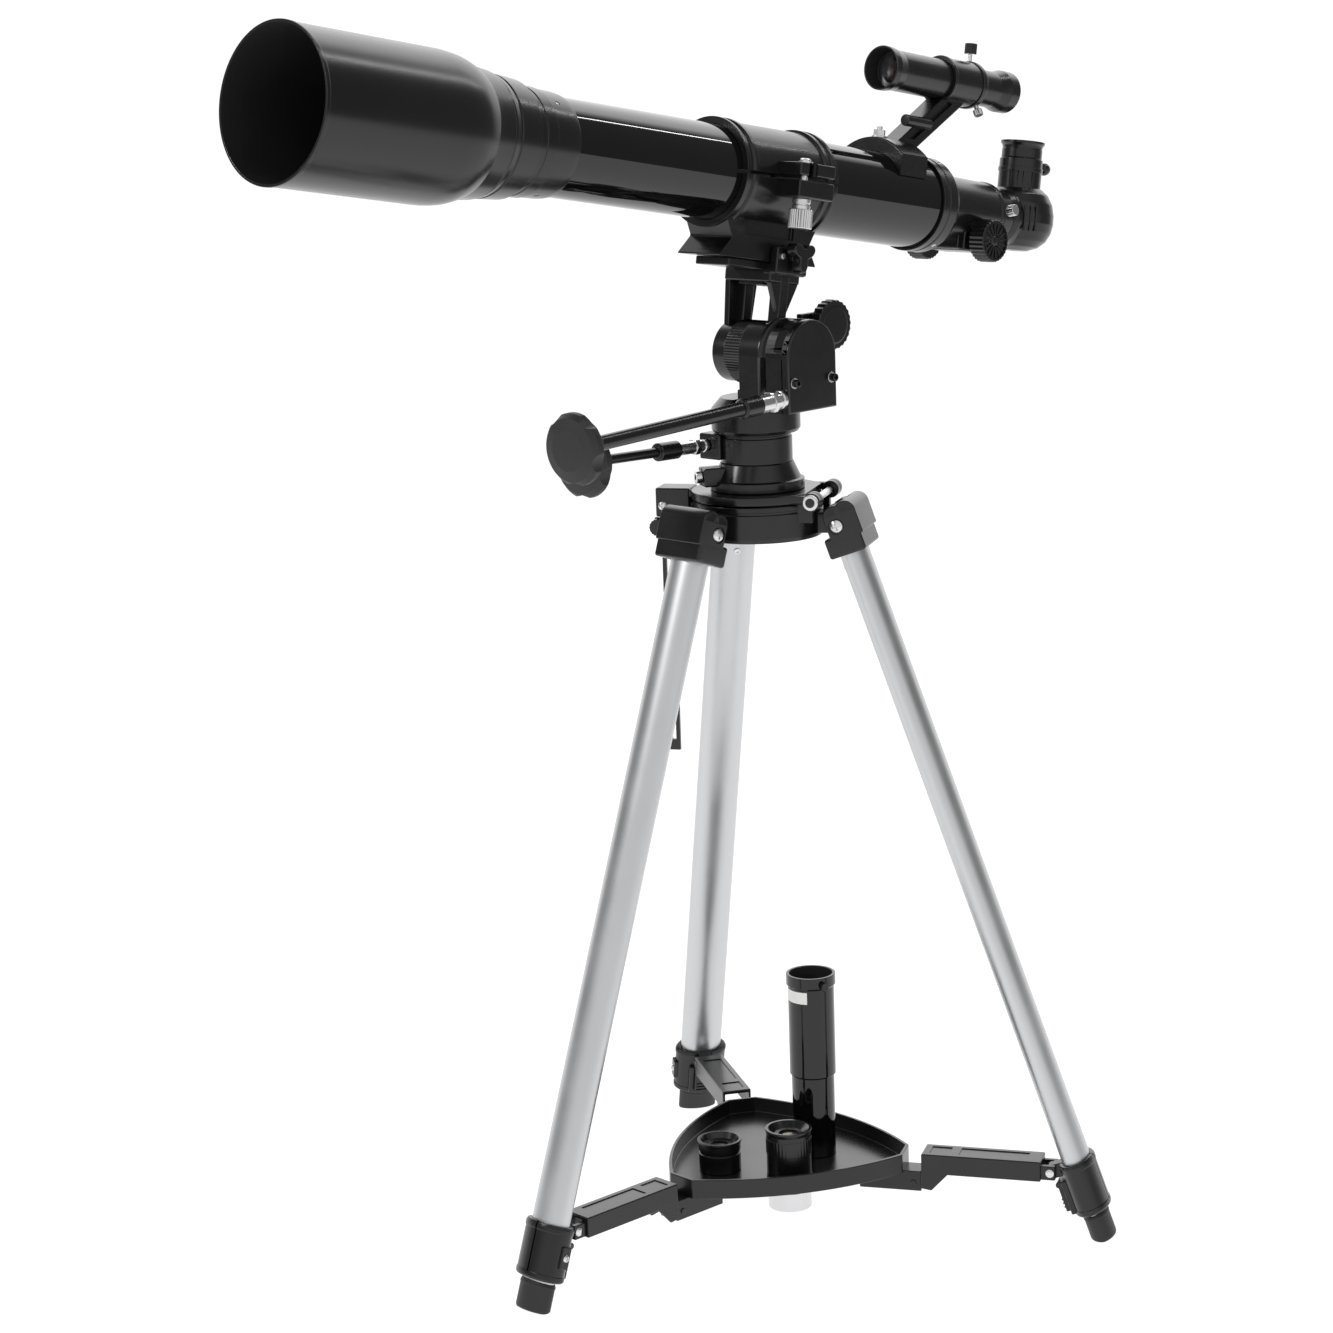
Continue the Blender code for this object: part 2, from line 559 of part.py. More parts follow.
def make_drum_cover():
    """The curved front wall that reaches left around the worm wheel, open above and behind."""
    _, axis_y, axis_z = ALTITUDE_AXIS
    inner = WHEEL_RADIUS + 0.5
    outer = HOUSING_HALF_WIDTH - 0.4
    inner_lean = math.asin((DRUM_BACK - axis_y) / inner)
    outer_lean = math.asin((DRUM_BACK - axis_y) / outer)
    outline = [(DRUM_BACK, CUP_TOP + 2 * GAP)]
    for number in range(9):
        angle = math.pi - inner_lean + number / 8 * (2 * inner_lean + math.pi)
        outline.append((axis_y + inner * math.sin(angle), axis_z + inner * math.cos(angle)))
    for number in range(7):
        angle = outer_lean - number / 6 * (outer_lean + math.pi / 2)
        outline.append((axis_y + outer * math.sin(angle), axis_z + outer * math.cos(angle)))
    outline.append((axis_y - outer, CUP_TOP + 2 * GAP))
    return plate("drum_cover", outline, DRUM_LEFT, 23.7,
                 rotation=(math.radians(90), 0, math.radians(90)))


def altitude_worm_bore():
    return rod("altitude_worm_bore", 4.4, -30, 20, "Z", (0, 0), 16,
               altitude_worm_frame("altitude_bore_frame"))


def make_altitude_pieces(black):
    """The axle with its cap, the worm wheel, and the altitude lock knob with its screw."""
    _, axis_y, axis_z = ALTITUDE_AXIS
    at = (axis_y, axis_z)
    axle = rod("altitude_axle", 6.0, -27, 35.5, "X", at, 16)
    join(axle, rod("axle_cap", 15, -29, -24.3, "X", at, 24))
    wheel = rod("altitude_wheel", WHEEL_RADIUS, -11.7, 10.5, "X", at, 32)
    cut(wheel, rod("wheel_bore", 6.3, -20, 20, "X", at, 16))
    lock = turned("lock_knob", [(0, 38), (14, 38), (18, 36), (18, 29), (12, 27.4), (2.7, 27.4),
                                (2.7, 0), (0, 0)], 24, location=(0, 46, 667),
                  rotation=(0, math.radians(90), 0))
    paint(black, axle, wheel, lock)


def make_yoke(altitude, tube, black):
    """The two-armed yoke on the altitude axle, with the saddle on top."""
    yoke = box("yoke", (-24, -4.5, 0), (-12, 4.5, 55), altitude)
    join(yoke, rod("left_boss", 21.7, -24.1, -11.9, "X", (0, 0), 28, altitude),
         box("yoke_bridge", (-23.6, -16, 49.5), (20.6, 16, 58.7), altitude),
         box("right_arm", (10.9, -4.5, 0), (20.9, 4.5, 55), altitude),
         rod("right_boss", 21.7, 10.8, 21, "X", (0, 0), 28, altitude),
         box("saddle_plate", (-16, -31, -63.6), (16, 42, -57.8), tube),
         box("saddle_step", (14, 8, -66), (26, 39, -58.2), tube),
         box("saddle_jaw", (20.4, 7, -65.5), (27, 40, -46.5), tube))
    cut(yoke, rod("boss_bore", 6.3, -30, 30, "X", (0, 0), 16, altitude),
        rod("jaw_bore", 3.0, 10, 40, "X", SADDLE_KNOB, 12, tube))
    knob = rod("saddle_knob", 12.5, 29, 38, "X", SADDLE_KNOB, 20, tube)
    join(knob, rod("saddle_knob_neck", 7, 27.4, 31, "X", SADDLE_KNOB, 16, tube),
         rod("saddle_knob_screw", 2.7, 20.6, 30, "X", SADDLE_KNOB, 12, tube))
    paint(black, yoke, knob)


# Cradle ---------------------------------------------------------------------------------

def cradle_band(name, tube):
    """The cradle's whole outside: a band with a raised rib at each end, before it is split."""
    return along_tube(name, [(0, 44), (38.5, 44), (38.5, 32), (36.6, 31), (36.6, -40),
                             (38.5, -41), (38.5, -52), (0, -52)], tube, 32)


def cradle_bore(name, tube):
    return rod(name, TUBE_RADIUS + GAP, -70, 70, "Y", (0, 0), 32, tube,
               rotation=(0, FACET_TURN, 0))


def knuckle(name, tube, start, end, radius=4.0):
    return rod(name, radius, start, end, "Y", (-42.4, 0.8), 14, tube)


def make_cradle(tube, black, chrome):
    """The hinged tube cradle: the lower half on its dovetail, the lid, and the thumb nut."""
    lower = cradle_band("cradle_lower", tube)
    cut(lower, box("lower_trim", (-60, -60, -0.6), (60, 70, 60), tube))
    join(lower, dovetail_base(tube), box("lower_lug", (30, -10, -13), (57, 27, -0.8), tube))
    cut(lower, knuckle("lower_clear_a", tube, -60, -15.7, 4.6),
        knuckle("lower_clear_b", tube, 22.7, 60, 4.6))
    join(lower, knuckle("lower_knuckle", tube, -15.4, 22.4),
         box("lower_knuckle_root", (-42.4, -15.2, -3.2), (-30, 22.2, -1.0), tube))
    cut(lower, rod("bolt_bore_low", 3.6, -30, 10, "Z", (48.5, 3), 14, tube),
        cradle_bore("lower_bore", tube))
    upper = cradle_band("cradle_lid", tube)
    cut(upper, box("upper_trim", (-60, -60, -60), (60, 70, 2.2), tube),
        knuckle("upper_clear", tube, -15.7, 22.7, 4.6))
    join(upper, box("upper_lug", (30, -10, 2.4), (57, 27, 11.5), tube),
         knuckle("upper_knuckle_a", tube, -43.5, -15.9), knuckle("upper_knuckle_b", tube, 22.9, 51),
         box("upper_root_a", (-42.4, -43.3, 2.4), (-30, -16.1, 4.4), tube),
         box("upper_root_b", (-42.4, 23.1, 2.4), (-30, 50.8, 4.4), tube))
    cut(upper, cradle_bore("upper_bore", tube),
        box("bolt_slot", (43.5, -1.5, -5), (70, 7.5, 30), tube))
    nut = turned("cradle_nut", [(0, 15), (4.1, 14), (4.1, 11.9), (2.8, 11.8), (2.8, -13.4),
                                (6.5, -13.4), (6.5, -20), (8.7, -20.5), (8.7, -34), (0, -34)],
                 20, tube, (48.5, 3, 0))
    paint(black, lower, upper)
    paint(chrome, nut)


def dovetail_base(tube):
    """The waisted block under the cradle and the flared dovetail plate below it."""
    side = [(-41.3, -31), (-34.6, -43), (-34.6, -44.5), (-45.5, -56.5), (-45.5, -57.5),
            (56.3, -57.5), (56.3, -56.5), (48, -44.5), (48, -43), (54, -31), (44, -20), (-30, -20)]
    return plate("dovetail_base", side, -20, 20, tube,
                 rotation=(math.radians(90), 0, math.radians(90)))


# Optical tube ---------------------------------------------------------------------------

def make_tube(tube, gloss, black, glass):
    """The main tube, the lens cell, the objective and the dew shield."""
    body = along_tube("main_tube", [(TUBE_RADIUS, TUBE_FRONT), (TUBE_RADIUS, TUBE_REAR),
                                    (31.8, TUBE_REAR), (31.8, TUBE_FRONT)], tube, 24)
    cell = along_tube("lens_cell", [(37.6, 284), (37.6, 269.7), (41.8, 269.7), (39.9, 244),
                                    (36.8, 241), (36.6, 232), (35.2, 204),
                                    (TUBE_RADIUS + GAP, 204), (TUBE_RADIUS + GAP, 226),
                                    (30.5, 226), (30.5, 246), (33.3, 246), (33.3, 284)],
                      tube, 24)
    lens = along_tube("objective", [(0, 258), (16, 257), (33, 253.5), (33, 248.5), (30.2, 246.4),
                                    (16, 245.6), (0, 245.2)], tube, 20)
    shield = along_tube("dew_shield", [(SHIELD_RADIUS, MOUTH), (50.0, 318), (49.3, 304),
                                       (47.6, 295), (44.4, 286), (42.3, 270), (38.0, 270),
                                       (38.0, 286), (41, 289), (45, 298), (47, 306),
                                       (SHIELD_RADIUS - 2.2, MOUTH)], tube, 28)
    paint(gloss, body)
    paint(black, cell, shield)
    paint(glass, lens)


def make_focuser(tube, black):
    """The focuser body on the tube's rear end, its draw tube and its focus knobs."""
    along, drop = FOCUS_AXIS
    body = along_tube("focuser_body", [(0, -178), (35.4, -178), (35.4, -194), (33.5, -198),
                                       (27, -203.5), (25, -206), (24, -266), (0, -266)], tube, 22)
    join(body, box("pinion_case", (-19, -along - 13, drop - 9), (19, -along + 13, -12), tube))
    cut(body, rod("draw_bore", 18.9, 184, 280, "Y", (0, 0), 28, tube,
                  rotation=(0, FACET_TURN, 0)),
        rod("tube_socket", TUBE_RADIUS + GAP, 170, -TUBE_REAR + GAP, "Y", (0, 0), 28, tube,
            rotation=(0, FACET_TURN, 0)),
        rod("pinion_bore", 2.9, -30, 30, "X", (-along, drop), 12, tube))
    draw = along_tube("draw_tube", [(18.6, -150), (18.6, -272), (20, -272.5), (20, -283),
                                    (16.0, -283), (16.0, -150)], tube, 20)
    knobs = rod("focus_knobs", 2.5, -24, 24, "X", (-along, drop), 12, tube)
    for number, side in enumerate((-1, 1)):
        low, high = sorted((side * 24.9, side * 39))
        hub_low, hub_high = sorted((side * 19.4, side * 26))
        join(knobs, rod(f"focus_knob_{number}", 16, low, high, "X", (-along, drop), 22, tube),
             rod(f"focus_hub_{number}", 5, hub_low, hub_high, "X", (-along, drop), 14, tube))
    paint(black, body, draw, knobs)


def make_diagonal(tube, black):
    """The domed diagonal, the eyepiece that stands in it and the eyepiece screw."""
    diagonal = along_tube("diagonal", [(0, -262), (15.7, -262), (15.7, -283.3), (20, -283.3),
                                       (21.5, -288), (21.5, -300), (0, -300)], tube, 20)
    dome = turned("diagonal_dome", [(0, 27), (18, 26.5), (25, 22), (28.5, 10), (28.5, -8),
                                    (25.5, -18), (19, -23.5), (0, -24)], 20, tube,
                  (0, -DIAGONAL_CENTRE, 0))
    join(diagonal, dome, rod("eyepiece_holder", 16.6, 20, 47, "Z", (0, 311), 20, tube))
    cut(diagonal, rod("holder_bore", 14.4, 24, 60, "Z", (0, 311), 20, tube),
        rod("screw_bore", 2.0, 320, 340, "Y", (0, 42), 12, tube))
    eyepiece = turned("eyepiece", [(17, 60.5), (15.4, 57), (15.6, 47.4), (14.1, 47.4), (14.1, 26),
                                   (0, 26), (0, 54), (10, 55), (14.6, 60.5)], 20, tube,
                      (0, 311, 0))
    screw = rod("eyepiece_screw", 4.6, 335.5, 345.5, "Y", (0, 42), 16, tube)
    join(screw, rod("eyepiece_screw_shank", 1.7, 325.8, 337, "Y", (0, 42), 12, tube))
    paint(black, diagonal, eyepiece, screw)


def make_finder(tube, black, chrome):
    """The finder scope, its slanted bracket on the tube, and its centring screw."""
    scope = along_tube("finder_scope", [(16.3, -133), (16.3, -140), (14.8, -147), (14.8, -238),
                                        (13.6, -245), (13.6, -266), (15.8, -272), (15.8, -282),
                                        (12, -282), (8, -272), (0, -272), (0, -146), (13.6, -146),
                                        (14.9, -133)], tube, 20, (0, 0, FINDER_HEIGHT))
    shoe = rod("finder_bracket", SHOE_RADIUS, 130, 160, "Y", (0, 0), 32, tube)
    cut(shoe, box("shoe_trim_low", (-60, 100, -60), (60, 200, 16.5), tube),
        box("shoe_trim_left", (-60, 100, 10), (-SHOE_HALF_WIDTH, 200, 50), tube),
        box("shoe_trim_right", (SHOE_HALF_WIDTH, 100, 10), (60, 200, 50), tube),
        rod("shoe_relief", TUBE_RADIUS + GAP, 100, 200, "Y", (0, 0), 32, tube))
    stalk = [(147, 40), (170, 38), (226, 80), (201, 82)]
    join(shoe, plate("finder_stalk", stalk, -8, 8, tube,
                     rotation=(math.radians(90), 0, math.radians(90))),
         rod("finder_ring", 17.6, 200, 241, "Y", (0, FINDER_HEIGHT), 20, tube),
         rod("sight_peg", 4.3, 153, 181, "Y", (10.5, 58.7), 14, tube))
    cut(shoe, rod("ring_bore", 15.1, 190, 260, "Y", (0, FINDER_HEIGHT), 20, tube),
        rod("centring_bore", 1.9, FINDER_HEIGHT, 130, "Z", (0, 236), 12, tube))
    screw = rod("finder_screw", 4.6, 117, 125.5, "Z", (0, 236), 14, tube)
    join(screw, rod("finder_screw_shank", 1.6, 109.5, 119, "Z", (0, 236), 12, tube))
    paint(black, scope, shoe)
    paint(chrome, screw)


def build():
    start_scene()
    black = make_material("black_plastic", BLACK, 0.42)
    painted = make_material("black_casting", BLACK, 0.35, 0.2)
    gloss = make_material("gloss_black_tube", GLOSS_BLACK, 0.08)
    metal = make_material("anodised_aluminium", ALUMINIUM, 0.32, 1.0)
    chrome = make_material("bright_metal", CHROME, 0.15, 1.0)
    glass = make_material("coated_glass", GLASS, 0.05)
    make_hub(black)
    for side in LEG_AZIMUTHS:
        frame = leg_frame(side)
        make_leg_top(side, frame, black)
        make_leg_tubes(side, frame, metal, black)
        make_leg_clamp(side, frame, black)
        make_brace_arm(side, black)
    make_tray(black)
    make_tray_pieces(black, chrome)
    make_tilt_plate(black)
    make_wedge_hardware(chrome, black)
    make_azimuth_stack(painted, chrome)
    make_control("azimuth", azimuth_worm_frame("azimuth_shaft_frame"), (4.7, -20), (6.5, 30, 51),
                 (3.6,), 131, black, chrome)
    make_control("altitude", altitude_worm_frame("altitude_shaft_frame"), (6.6, -24),
                 (7.2, 13, 30), (5.2,), 214, black, chrome)
    make_gear_housing(painted)
    make_altitude_pieces(painted)
    altitude = add_empty("altitude_frame", ALTITUDE_AXIS, (-ELEVATION, 0, 0))
    tube = add_empty("tube_frame", (0, -TUBE_AHEAD_OF_AXIS, TUBE_ABOVE_AXIS), parent=altitude)
    make_yoke(altitude, tube, painted)
    make_cradle(tube, painted, chrome)
    make_tube(tube, gloss, black, glass)
    make_focuser(tube, black)
    make_diagonal(tube, black)
    make_finder(tube, black, chrome)


build()
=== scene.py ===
"""A refractor telescope on its slow-motion head and tripod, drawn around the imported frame.

Shapes are given in millimetres in the frame of the part they belong to. Each frame comes
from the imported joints, so every piece sits where its CAD node sits.
"""
import json
import math

import bmesh
import bpy
from mathutils import Matrix, Vector


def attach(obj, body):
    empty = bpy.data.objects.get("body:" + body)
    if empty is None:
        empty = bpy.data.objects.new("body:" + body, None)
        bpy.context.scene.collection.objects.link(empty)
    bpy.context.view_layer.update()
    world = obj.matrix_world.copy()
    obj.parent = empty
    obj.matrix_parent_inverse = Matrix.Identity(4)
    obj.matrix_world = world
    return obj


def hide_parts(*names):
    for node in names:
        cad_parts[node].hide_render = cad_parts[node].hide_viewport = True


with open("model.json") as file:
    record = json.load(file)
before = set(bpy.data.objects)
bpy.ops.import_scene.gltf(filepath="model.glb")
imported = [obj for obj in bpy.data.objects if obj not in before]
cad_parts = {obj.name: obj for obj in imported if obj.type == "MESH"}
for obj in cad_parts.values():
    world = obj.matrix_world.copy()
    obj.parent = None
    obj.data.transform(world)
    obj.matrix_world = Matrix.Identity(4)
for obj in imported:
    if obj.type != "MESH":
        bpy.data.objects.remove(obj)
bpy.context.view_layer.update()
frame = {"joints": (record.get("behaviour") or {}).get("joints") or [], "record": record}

MM = 0.001
TINY = 1e-6
SMOOTH_BELOW = math.radians(36)
NEARLY_STRAIGHT = math.radians(172)
ROUND_STEPS = 3
BEVEL_STEPS = 3
FLUTE = (0.0, 0.55, 1.0, 0.55)
WELD = 0.000002
GRAIN_DEPTH = 0.00006
JOINTS = {joint["name"]: joint for joint in frame["joints"]}
RECORD = frame["record"]
BODY_OF = {node: body for body, nodes in RECORD["behaviour"]["bodies"].items() for node in nodes}
SLOT_OF = {part["node"]: part["material_slot"] for part in RECORD["subparts"]}


# Frames from the joints -----------------------------------------------------------------

def point_of(joint):
    return Vector(JOINTS[joint]["pos_m"])


def axis_of(joint):
    return Vector(JOINTS[joint]["axis"]).normalized()


def frame_at(origin, y, z):
    x = y.cross(z).normalized()
    turned = Matrix((x, z.cross(x), z)).transposed().to_4x4()
    return Matrix.Translation(origin) @ turned


def turn(degrees, axis="Z"):
    return Matrix.Rotation(math.radians(degrees), 4, axis)


def move(x, y, z):
    return Matrix.Translation(Vector((x, y, z)) * MM)


AZIMUTH_POINT = point_of("azimuth_turn")
STAND = Matrix.Translation((AZIMUTH_POINT.x, AZIMUTH_POINT.y, 0))
SIDES = ("front", "right", "rear")


def azimuth_of(joint):
    """The direction, in degrees, that a tangential hinge's arm points to."""
    axis = axis_of(joint)
    return math.degrees(math.atan2(axis.y, axis.x)) - 90


LEG_AZIMUTH = {side: azimuth_of("leg_fold_" + side) for side in SIDES}
WEDGE_AZIMUTH = azimuth_of("latitude_tilt")
LEG = {side: frame_at(point_of("leg_fold_" + side), axis_of("leg_fold_" + side),
                      -axis_of("leg_extend_" + side)) for side in SIDES}
TUBE_BACK = axis_of("focus_slide")
TUBE_UP = axis_of("finder_screw_turn")
TUBE = frame_at(point_of("diagonal_turn") - 0.3 * TUBE_BACK, TUBE_BACK, TUBE_UP)
ALTITUDE = frame_at(point_of("altitude_turn"), TUBE_BACK, TUBE_UP)
ALTITUDE_TO_TUBE = ALTITUDE.inverted() @ TUBE
LEFT_TO_RIGHT = Vector((1, 0, 0))
AZIMUTH_WORM = frame_at(
    point_of("azimuth_control_turn"), axis_of("azimuth_control_turn").cross(LEFT_TO_RIGHT),
    axis_of("azimuth_control_turn"))
ALTITUDE_WORM = frame_at(
    point_of("altitude_control_turn"), axis_of("altitude_control_turn").cross(LEFT_TO_RIGHT),
    axis_of("altitude_control_turn"))
FORWARD = turn(90, "X")
SIDE_ON = turn(90, "Z") @ turn(90, "X")
AXIS_TURN = {"Z": Matrix.Identity(4), "X": turn(90, "Y"), "Y": turn(-90, "X")}


# Shapes ---------------------------------------------------------------------------------

def link(thing):
    bpy.context.scene.collection.objects.link(thing)


def mesh_from(build, at=None):
    bmesh.ops.recalc_face_normals(build, faces=build.faces)
    mesh = bpy.data.meshes.new("shape")
    build.to_mesh(mesh)
    build.free()
    if at is not None:
        mesh.transform(at)
    return mesh


def rounded(outline, radius):
    """The outline with each corner that is off the axis turned into a small curve."""
    smooth = []
    for number, corner in enumerate(outline):
        here = Vector(corner)
        back = Vector(outline[number - 1]) - here
        ahead = Vector(outline[(number + 1) % len(outline)]) - here
        if abs(here.x) < TINY or back.length < TINY or ahead.length < TINY:
            smooth.append(here)
            continue
        angle = back.angle(ahead)
        reach = min(
            radius / max(math.tan(angle / 2), 0.01), 0.45 * back.length, 0.45 * ahead.length)
        if angle > NEARLY_STRAIGHT or radius <= 0:
            smooth.append(here)
            continue
        start = here + back.normalized() * reach
        end = here + ahead.normalized() * reach
        for step in range(ROUND_STEPS + 1):
            share = step / ROUND_STEPS
            smooth.append(start.lerp(here, share).lerp(here.lerp(end, share), share))
    return smooth


def lathe(outline, sides=96, soften=0.35, at=None):
    """A shape of revolution about Z from a closed outline of (radius, height) points."""
    points = rounded(outline, soften)
    build = bmesh.new()
    rings = []
    for radius, height in points:
        if radius < TINY:
            rings.append([build.verts.new((0, 0, height * MM))])
            continue
        ring = []
        for number in range(sides):
            angle = 2 * math.pi * number / sides
            ring.append(build.verts.new(
                (radius * math.cos(angle) * MM, radius * math.sin(angle) * MM, height * MM)))
        rings.append(ring)
    for number, ring in enumerate(rings):
        following = rings[(number + 1) % len(rings)]
        if len(ring) == 1 and len(following) == 1:
            continue
        for side in range(sides):
            after = (side + 1) % sides
            if len(ring) == 1:
                build.faces.new((ring[0], following[side], following[after]))
            elif len(following) == 1:
                build.faces.new((ring[side], following[0], ring[after]))
            else:
                build.faces.new((ring[side], following[side], following[after], ring[after]))
    return mesh_from(build, at)


def cyl(radius, start, end, axis="Z", centre=(0, 0), sides=64, soften=0.35, at=None):
    """A round bar along one axis, its rims softened."""
    middle = {"Z": (centre[0], centre[1], 0), "X": (0, centre[0], centre[1]),
              "Y": (centre[0], 0, centre[1])}[axis]
    local = move(*middle) @ AXIS_TURN[axis]
    if at is not None:
        local = at @ local
    return lathe([(0, end), (radius, end), (radius, start), (0, start)], sides, soften, local)


def oval(half_depth, half_width, start, end, soften=0.35, sides=96, at=None):
    """An upright elliptical bar, half_depth along X and half_width along Y."""
    flat = Matrix.Diagonal((half_depth / half_width, 1, 1, 1))
    return lathe([(0, end), (half_width, end), (half_width, start), (0, start)], sides, soften,
                 flat if at is None else at @ flat)


def block(low, high, soften=0.5, at=None):
    """A rectangular block between two corners, its edges softened."""
    build = bmesh.new()
    bmesh.ops.create_cube(build, size=1.0)
    size = [(b - a) * MM for a, b in zip(low, high)]
    middle = [(a + b) / 2 * MM for a, b in zip(low, high)]
    bmesh.ops.scale(build, vec=size, verts=build.verts)
    bmesh.ops.translate(build, vec=middle, verts=build.verts)
    if soften > 0:
        bmesh.ops.bevel(build, geom=list(build.edges), offset=min(soften * MM, 0.45 * min(size)),
                        segments=BEVEL_STEPS, profile=0.5, affect="EDGES", clamp_overlap=True)
    return mesh_from(build, at)


def prism(outline, start, end, soften=0.5, corner=0.0, at=None):
    """A flat outline in XY raised along Z, with its two rims softened."""
    points = rounded(outline, corner) if corner > 0 else [Vector(point) for point in outline]
    build = bmesh.new()
    rings = []
    for height in (start, end):
        rings.append([build.verts.new((x * MM, y * MM, height * MM)) for x, y in points])
    caps = [build.faces.new(rings[0]), build.faces.new(rings[1])]
    for number in range(len(points)):
        after = (number + 1) % len(points)
        build.faces.new((rings[0][number], rings[0][after], rings[1][after], rings[1][number]))
    bmesh.ops.recalc_face_normals(build, faces=build.faces)
    if soften > 0:
        rims = list({edge for cap in caps for edge in cap.edges})
        bmesh.ops.bevel(build, geom=rims, offset=soften * MM, segments=BEVEL_STEPS, profile=0.5,
                        affect="EDGES", clamp_overlap=True)
    return mesh_from(build, at)


def plus(*shapes):
    return [("UNION", shape) for shape in shapes]


def minus(*shapes):
    return [("DIFFERENCE", shape) for shape in shapes]


def fuse(base, *steps):
    """One mesh from a base shape and the shapes that are joined to it or cut from it."""
    holder = bpy.data.objects.new("fusing", base)
    link(holder)
    others = []
    for operation, shape in [pair for step in steps for pair in step]:
        other = bpy.data.objects.new("operand", shape)
        link(other)
        others.append(other)
        modifier = holder.modifiers.new(operation, "BOOLEAN")
        modifier.operation = operation
        modifier.solver = "EXACT"
        modifier.object = other
    result = bpy.data.meshes.new_from_object(
        holder.evaluated_get(bpy.context.evaluated_depsgraph_get()))
    for thing in [holder, *others]:
        mesh = thing.data
        bpy.data.objects.remove(thing)
        bpy.data.meshes.remove(mesh)
    build = bmesh.new()
    build.from_mesh(result)
    bmesh.ops.remove_doubles(build, verts=build.verts, dist=WELD)
    bmesh.ops.dissolve_degenerate(build, edges=build.edges, dist=WELD)
    build.to_mesh(result)
    build.free()
    return result


def gather(*shapes):
    """Shapes that don't touch, held in one mesh."""
    build = bmesh.new()
    for shape in shapes:
        build.from_mesh(shape)
        bpy.data.meshes.remove(shape)
    mesh = bpy.data.meshes.new("gathered")
    build.to_mesh(mesh)
    build.free()
    return mesh


def mirrored(near, far):
    """The two spans from near to far on either side of zero, the lower first."""
    return [(-far, -near), (near, far)]


def around(count, make, start=0.0):
    """The shapes that make(matrix) gives at count even turns about Z."""
    return gather(*[make(turn(start + 360 * number / count)) for number in range(count)])


# Materials ------------------------------------------------------------------------------

def add_node(tree, kind, links=(), **values):
    """A shader node with the given properties, its inputs set or linked by name."""
    node = tree.nodes.new("ShaderNode" + kind)
    for name, value in values.items():
        setattr(node, name, value)
    for name, value in links:
        if isinstance(value, bpy.types.NodeSocket):
            tree.links.new(value, node.inputs[name])
        else:
            node.inputs[name].default_value = value
    return node


def noise(tree, vector, scale, detail=3.0, rough=0.55):
    return add_node(
        tree, "TexNoise",
        [("Vector", vector), ("Scale", scale), ("Detail", detail), ("Roughness", rough)])


def spread(tree, value, low, high, start=0.3, end=0.7):
    """The value moved from start..end to low..high."""
    return add_node(tree, "MapRange",
                    [("Value", value), ("From Min", start), ("From Max", end),
                     ("To Min", low), ("To Max", high)]).outputs["Result"]


def finish(name, colour, roughness, metallic=0.0, grain=1400, bump=0.12, stretch=(1, 1, 1),
           shift=0.25, wear=0.0, blotch=18, **sockets):
    """A worked surface: colour drift, uneven roughness, grain in the bump and worn edges."""
    material = bpy.data.materials.new(name)
    material.use_nodes = True
    tree = material.node_tree
    shader = tree.nodes["Principled BSDF"]
    shader.inputs["Metallic"].default_value = metallic
    for socket, value in sockets.items():
        shader.inputs[socket.replace("_", " ")].default_value = value
    where = add_node(tree, "TexCoord").outputs["Object"]
    drawn = add_node(tree, "Mapping", [("Vector", where), ("Scale", stretch)])
    fine = noise(tree, drawn.outputs["Vector"], grain, 4.0)
    broad = noise(tree, where, blotch, 4.0)
    marks = noise(tree, drawn.outputs["Vector"], grain / 6, 2.0)
    base = add_node(tree, "MixRGB", [
        ("Fac", spread(tree, broad.outputs["Fac"], 0.0, 1.0)),
        ("Color1", tuple(c * (1 - shift) for c in colour) + (1,)),
        ("Color2", tuple(min(c * (1 + shift), 1) for c in colour) + (1,))])
    tint = base.outputs["Color"]
    if wear > 0:
        edge = add_node(tree, "NewGeometry").outputs["Pointiness"]
        worn = add_node(tree, "Math", operation="MULTIPLY", links=[
            (0, spread(tree, edge, 0.0, wear, 0.52, 0.6)),
            (1, spread(tree, marks.outputs["Fac"], 0.2, 1.0, 0.4, 0.6))])
        pale = tuple(min(c * 3 + 0.03, 1) for c in colour) + (1,)
        tint = add_node(
            tree, "MixRGB",
            [("Fac", worn.outputs["Value"]), ("Color1", tint), ("Color2", pale)]).outputs["Color"]
    tree.links.new(tint, shader.inputs["Base Color"])
    uneven = add_node(tree, "Math", operation="ADD", links=[
        (0, spread(tree, broad.outputs["Fac"], roughness * 0.86, roughness * 1.1)),
        (1, spread(tree, marks.outputs["Fac"], -0.03 * roughness, 0.04 * roughness))])
    tree.links.new(uneven.outputs["Value"], shader.inputs["Roughness"])
    relief = add_node(
        tree, "Bump",
        [("Strength", bump), ("Distance", GRAIN_DEPTH), ("Height", fine.outputs["Fac"])])
    tree.links.new(relief.outputs["Normal"], shader.inputs["Normal"])
    return material


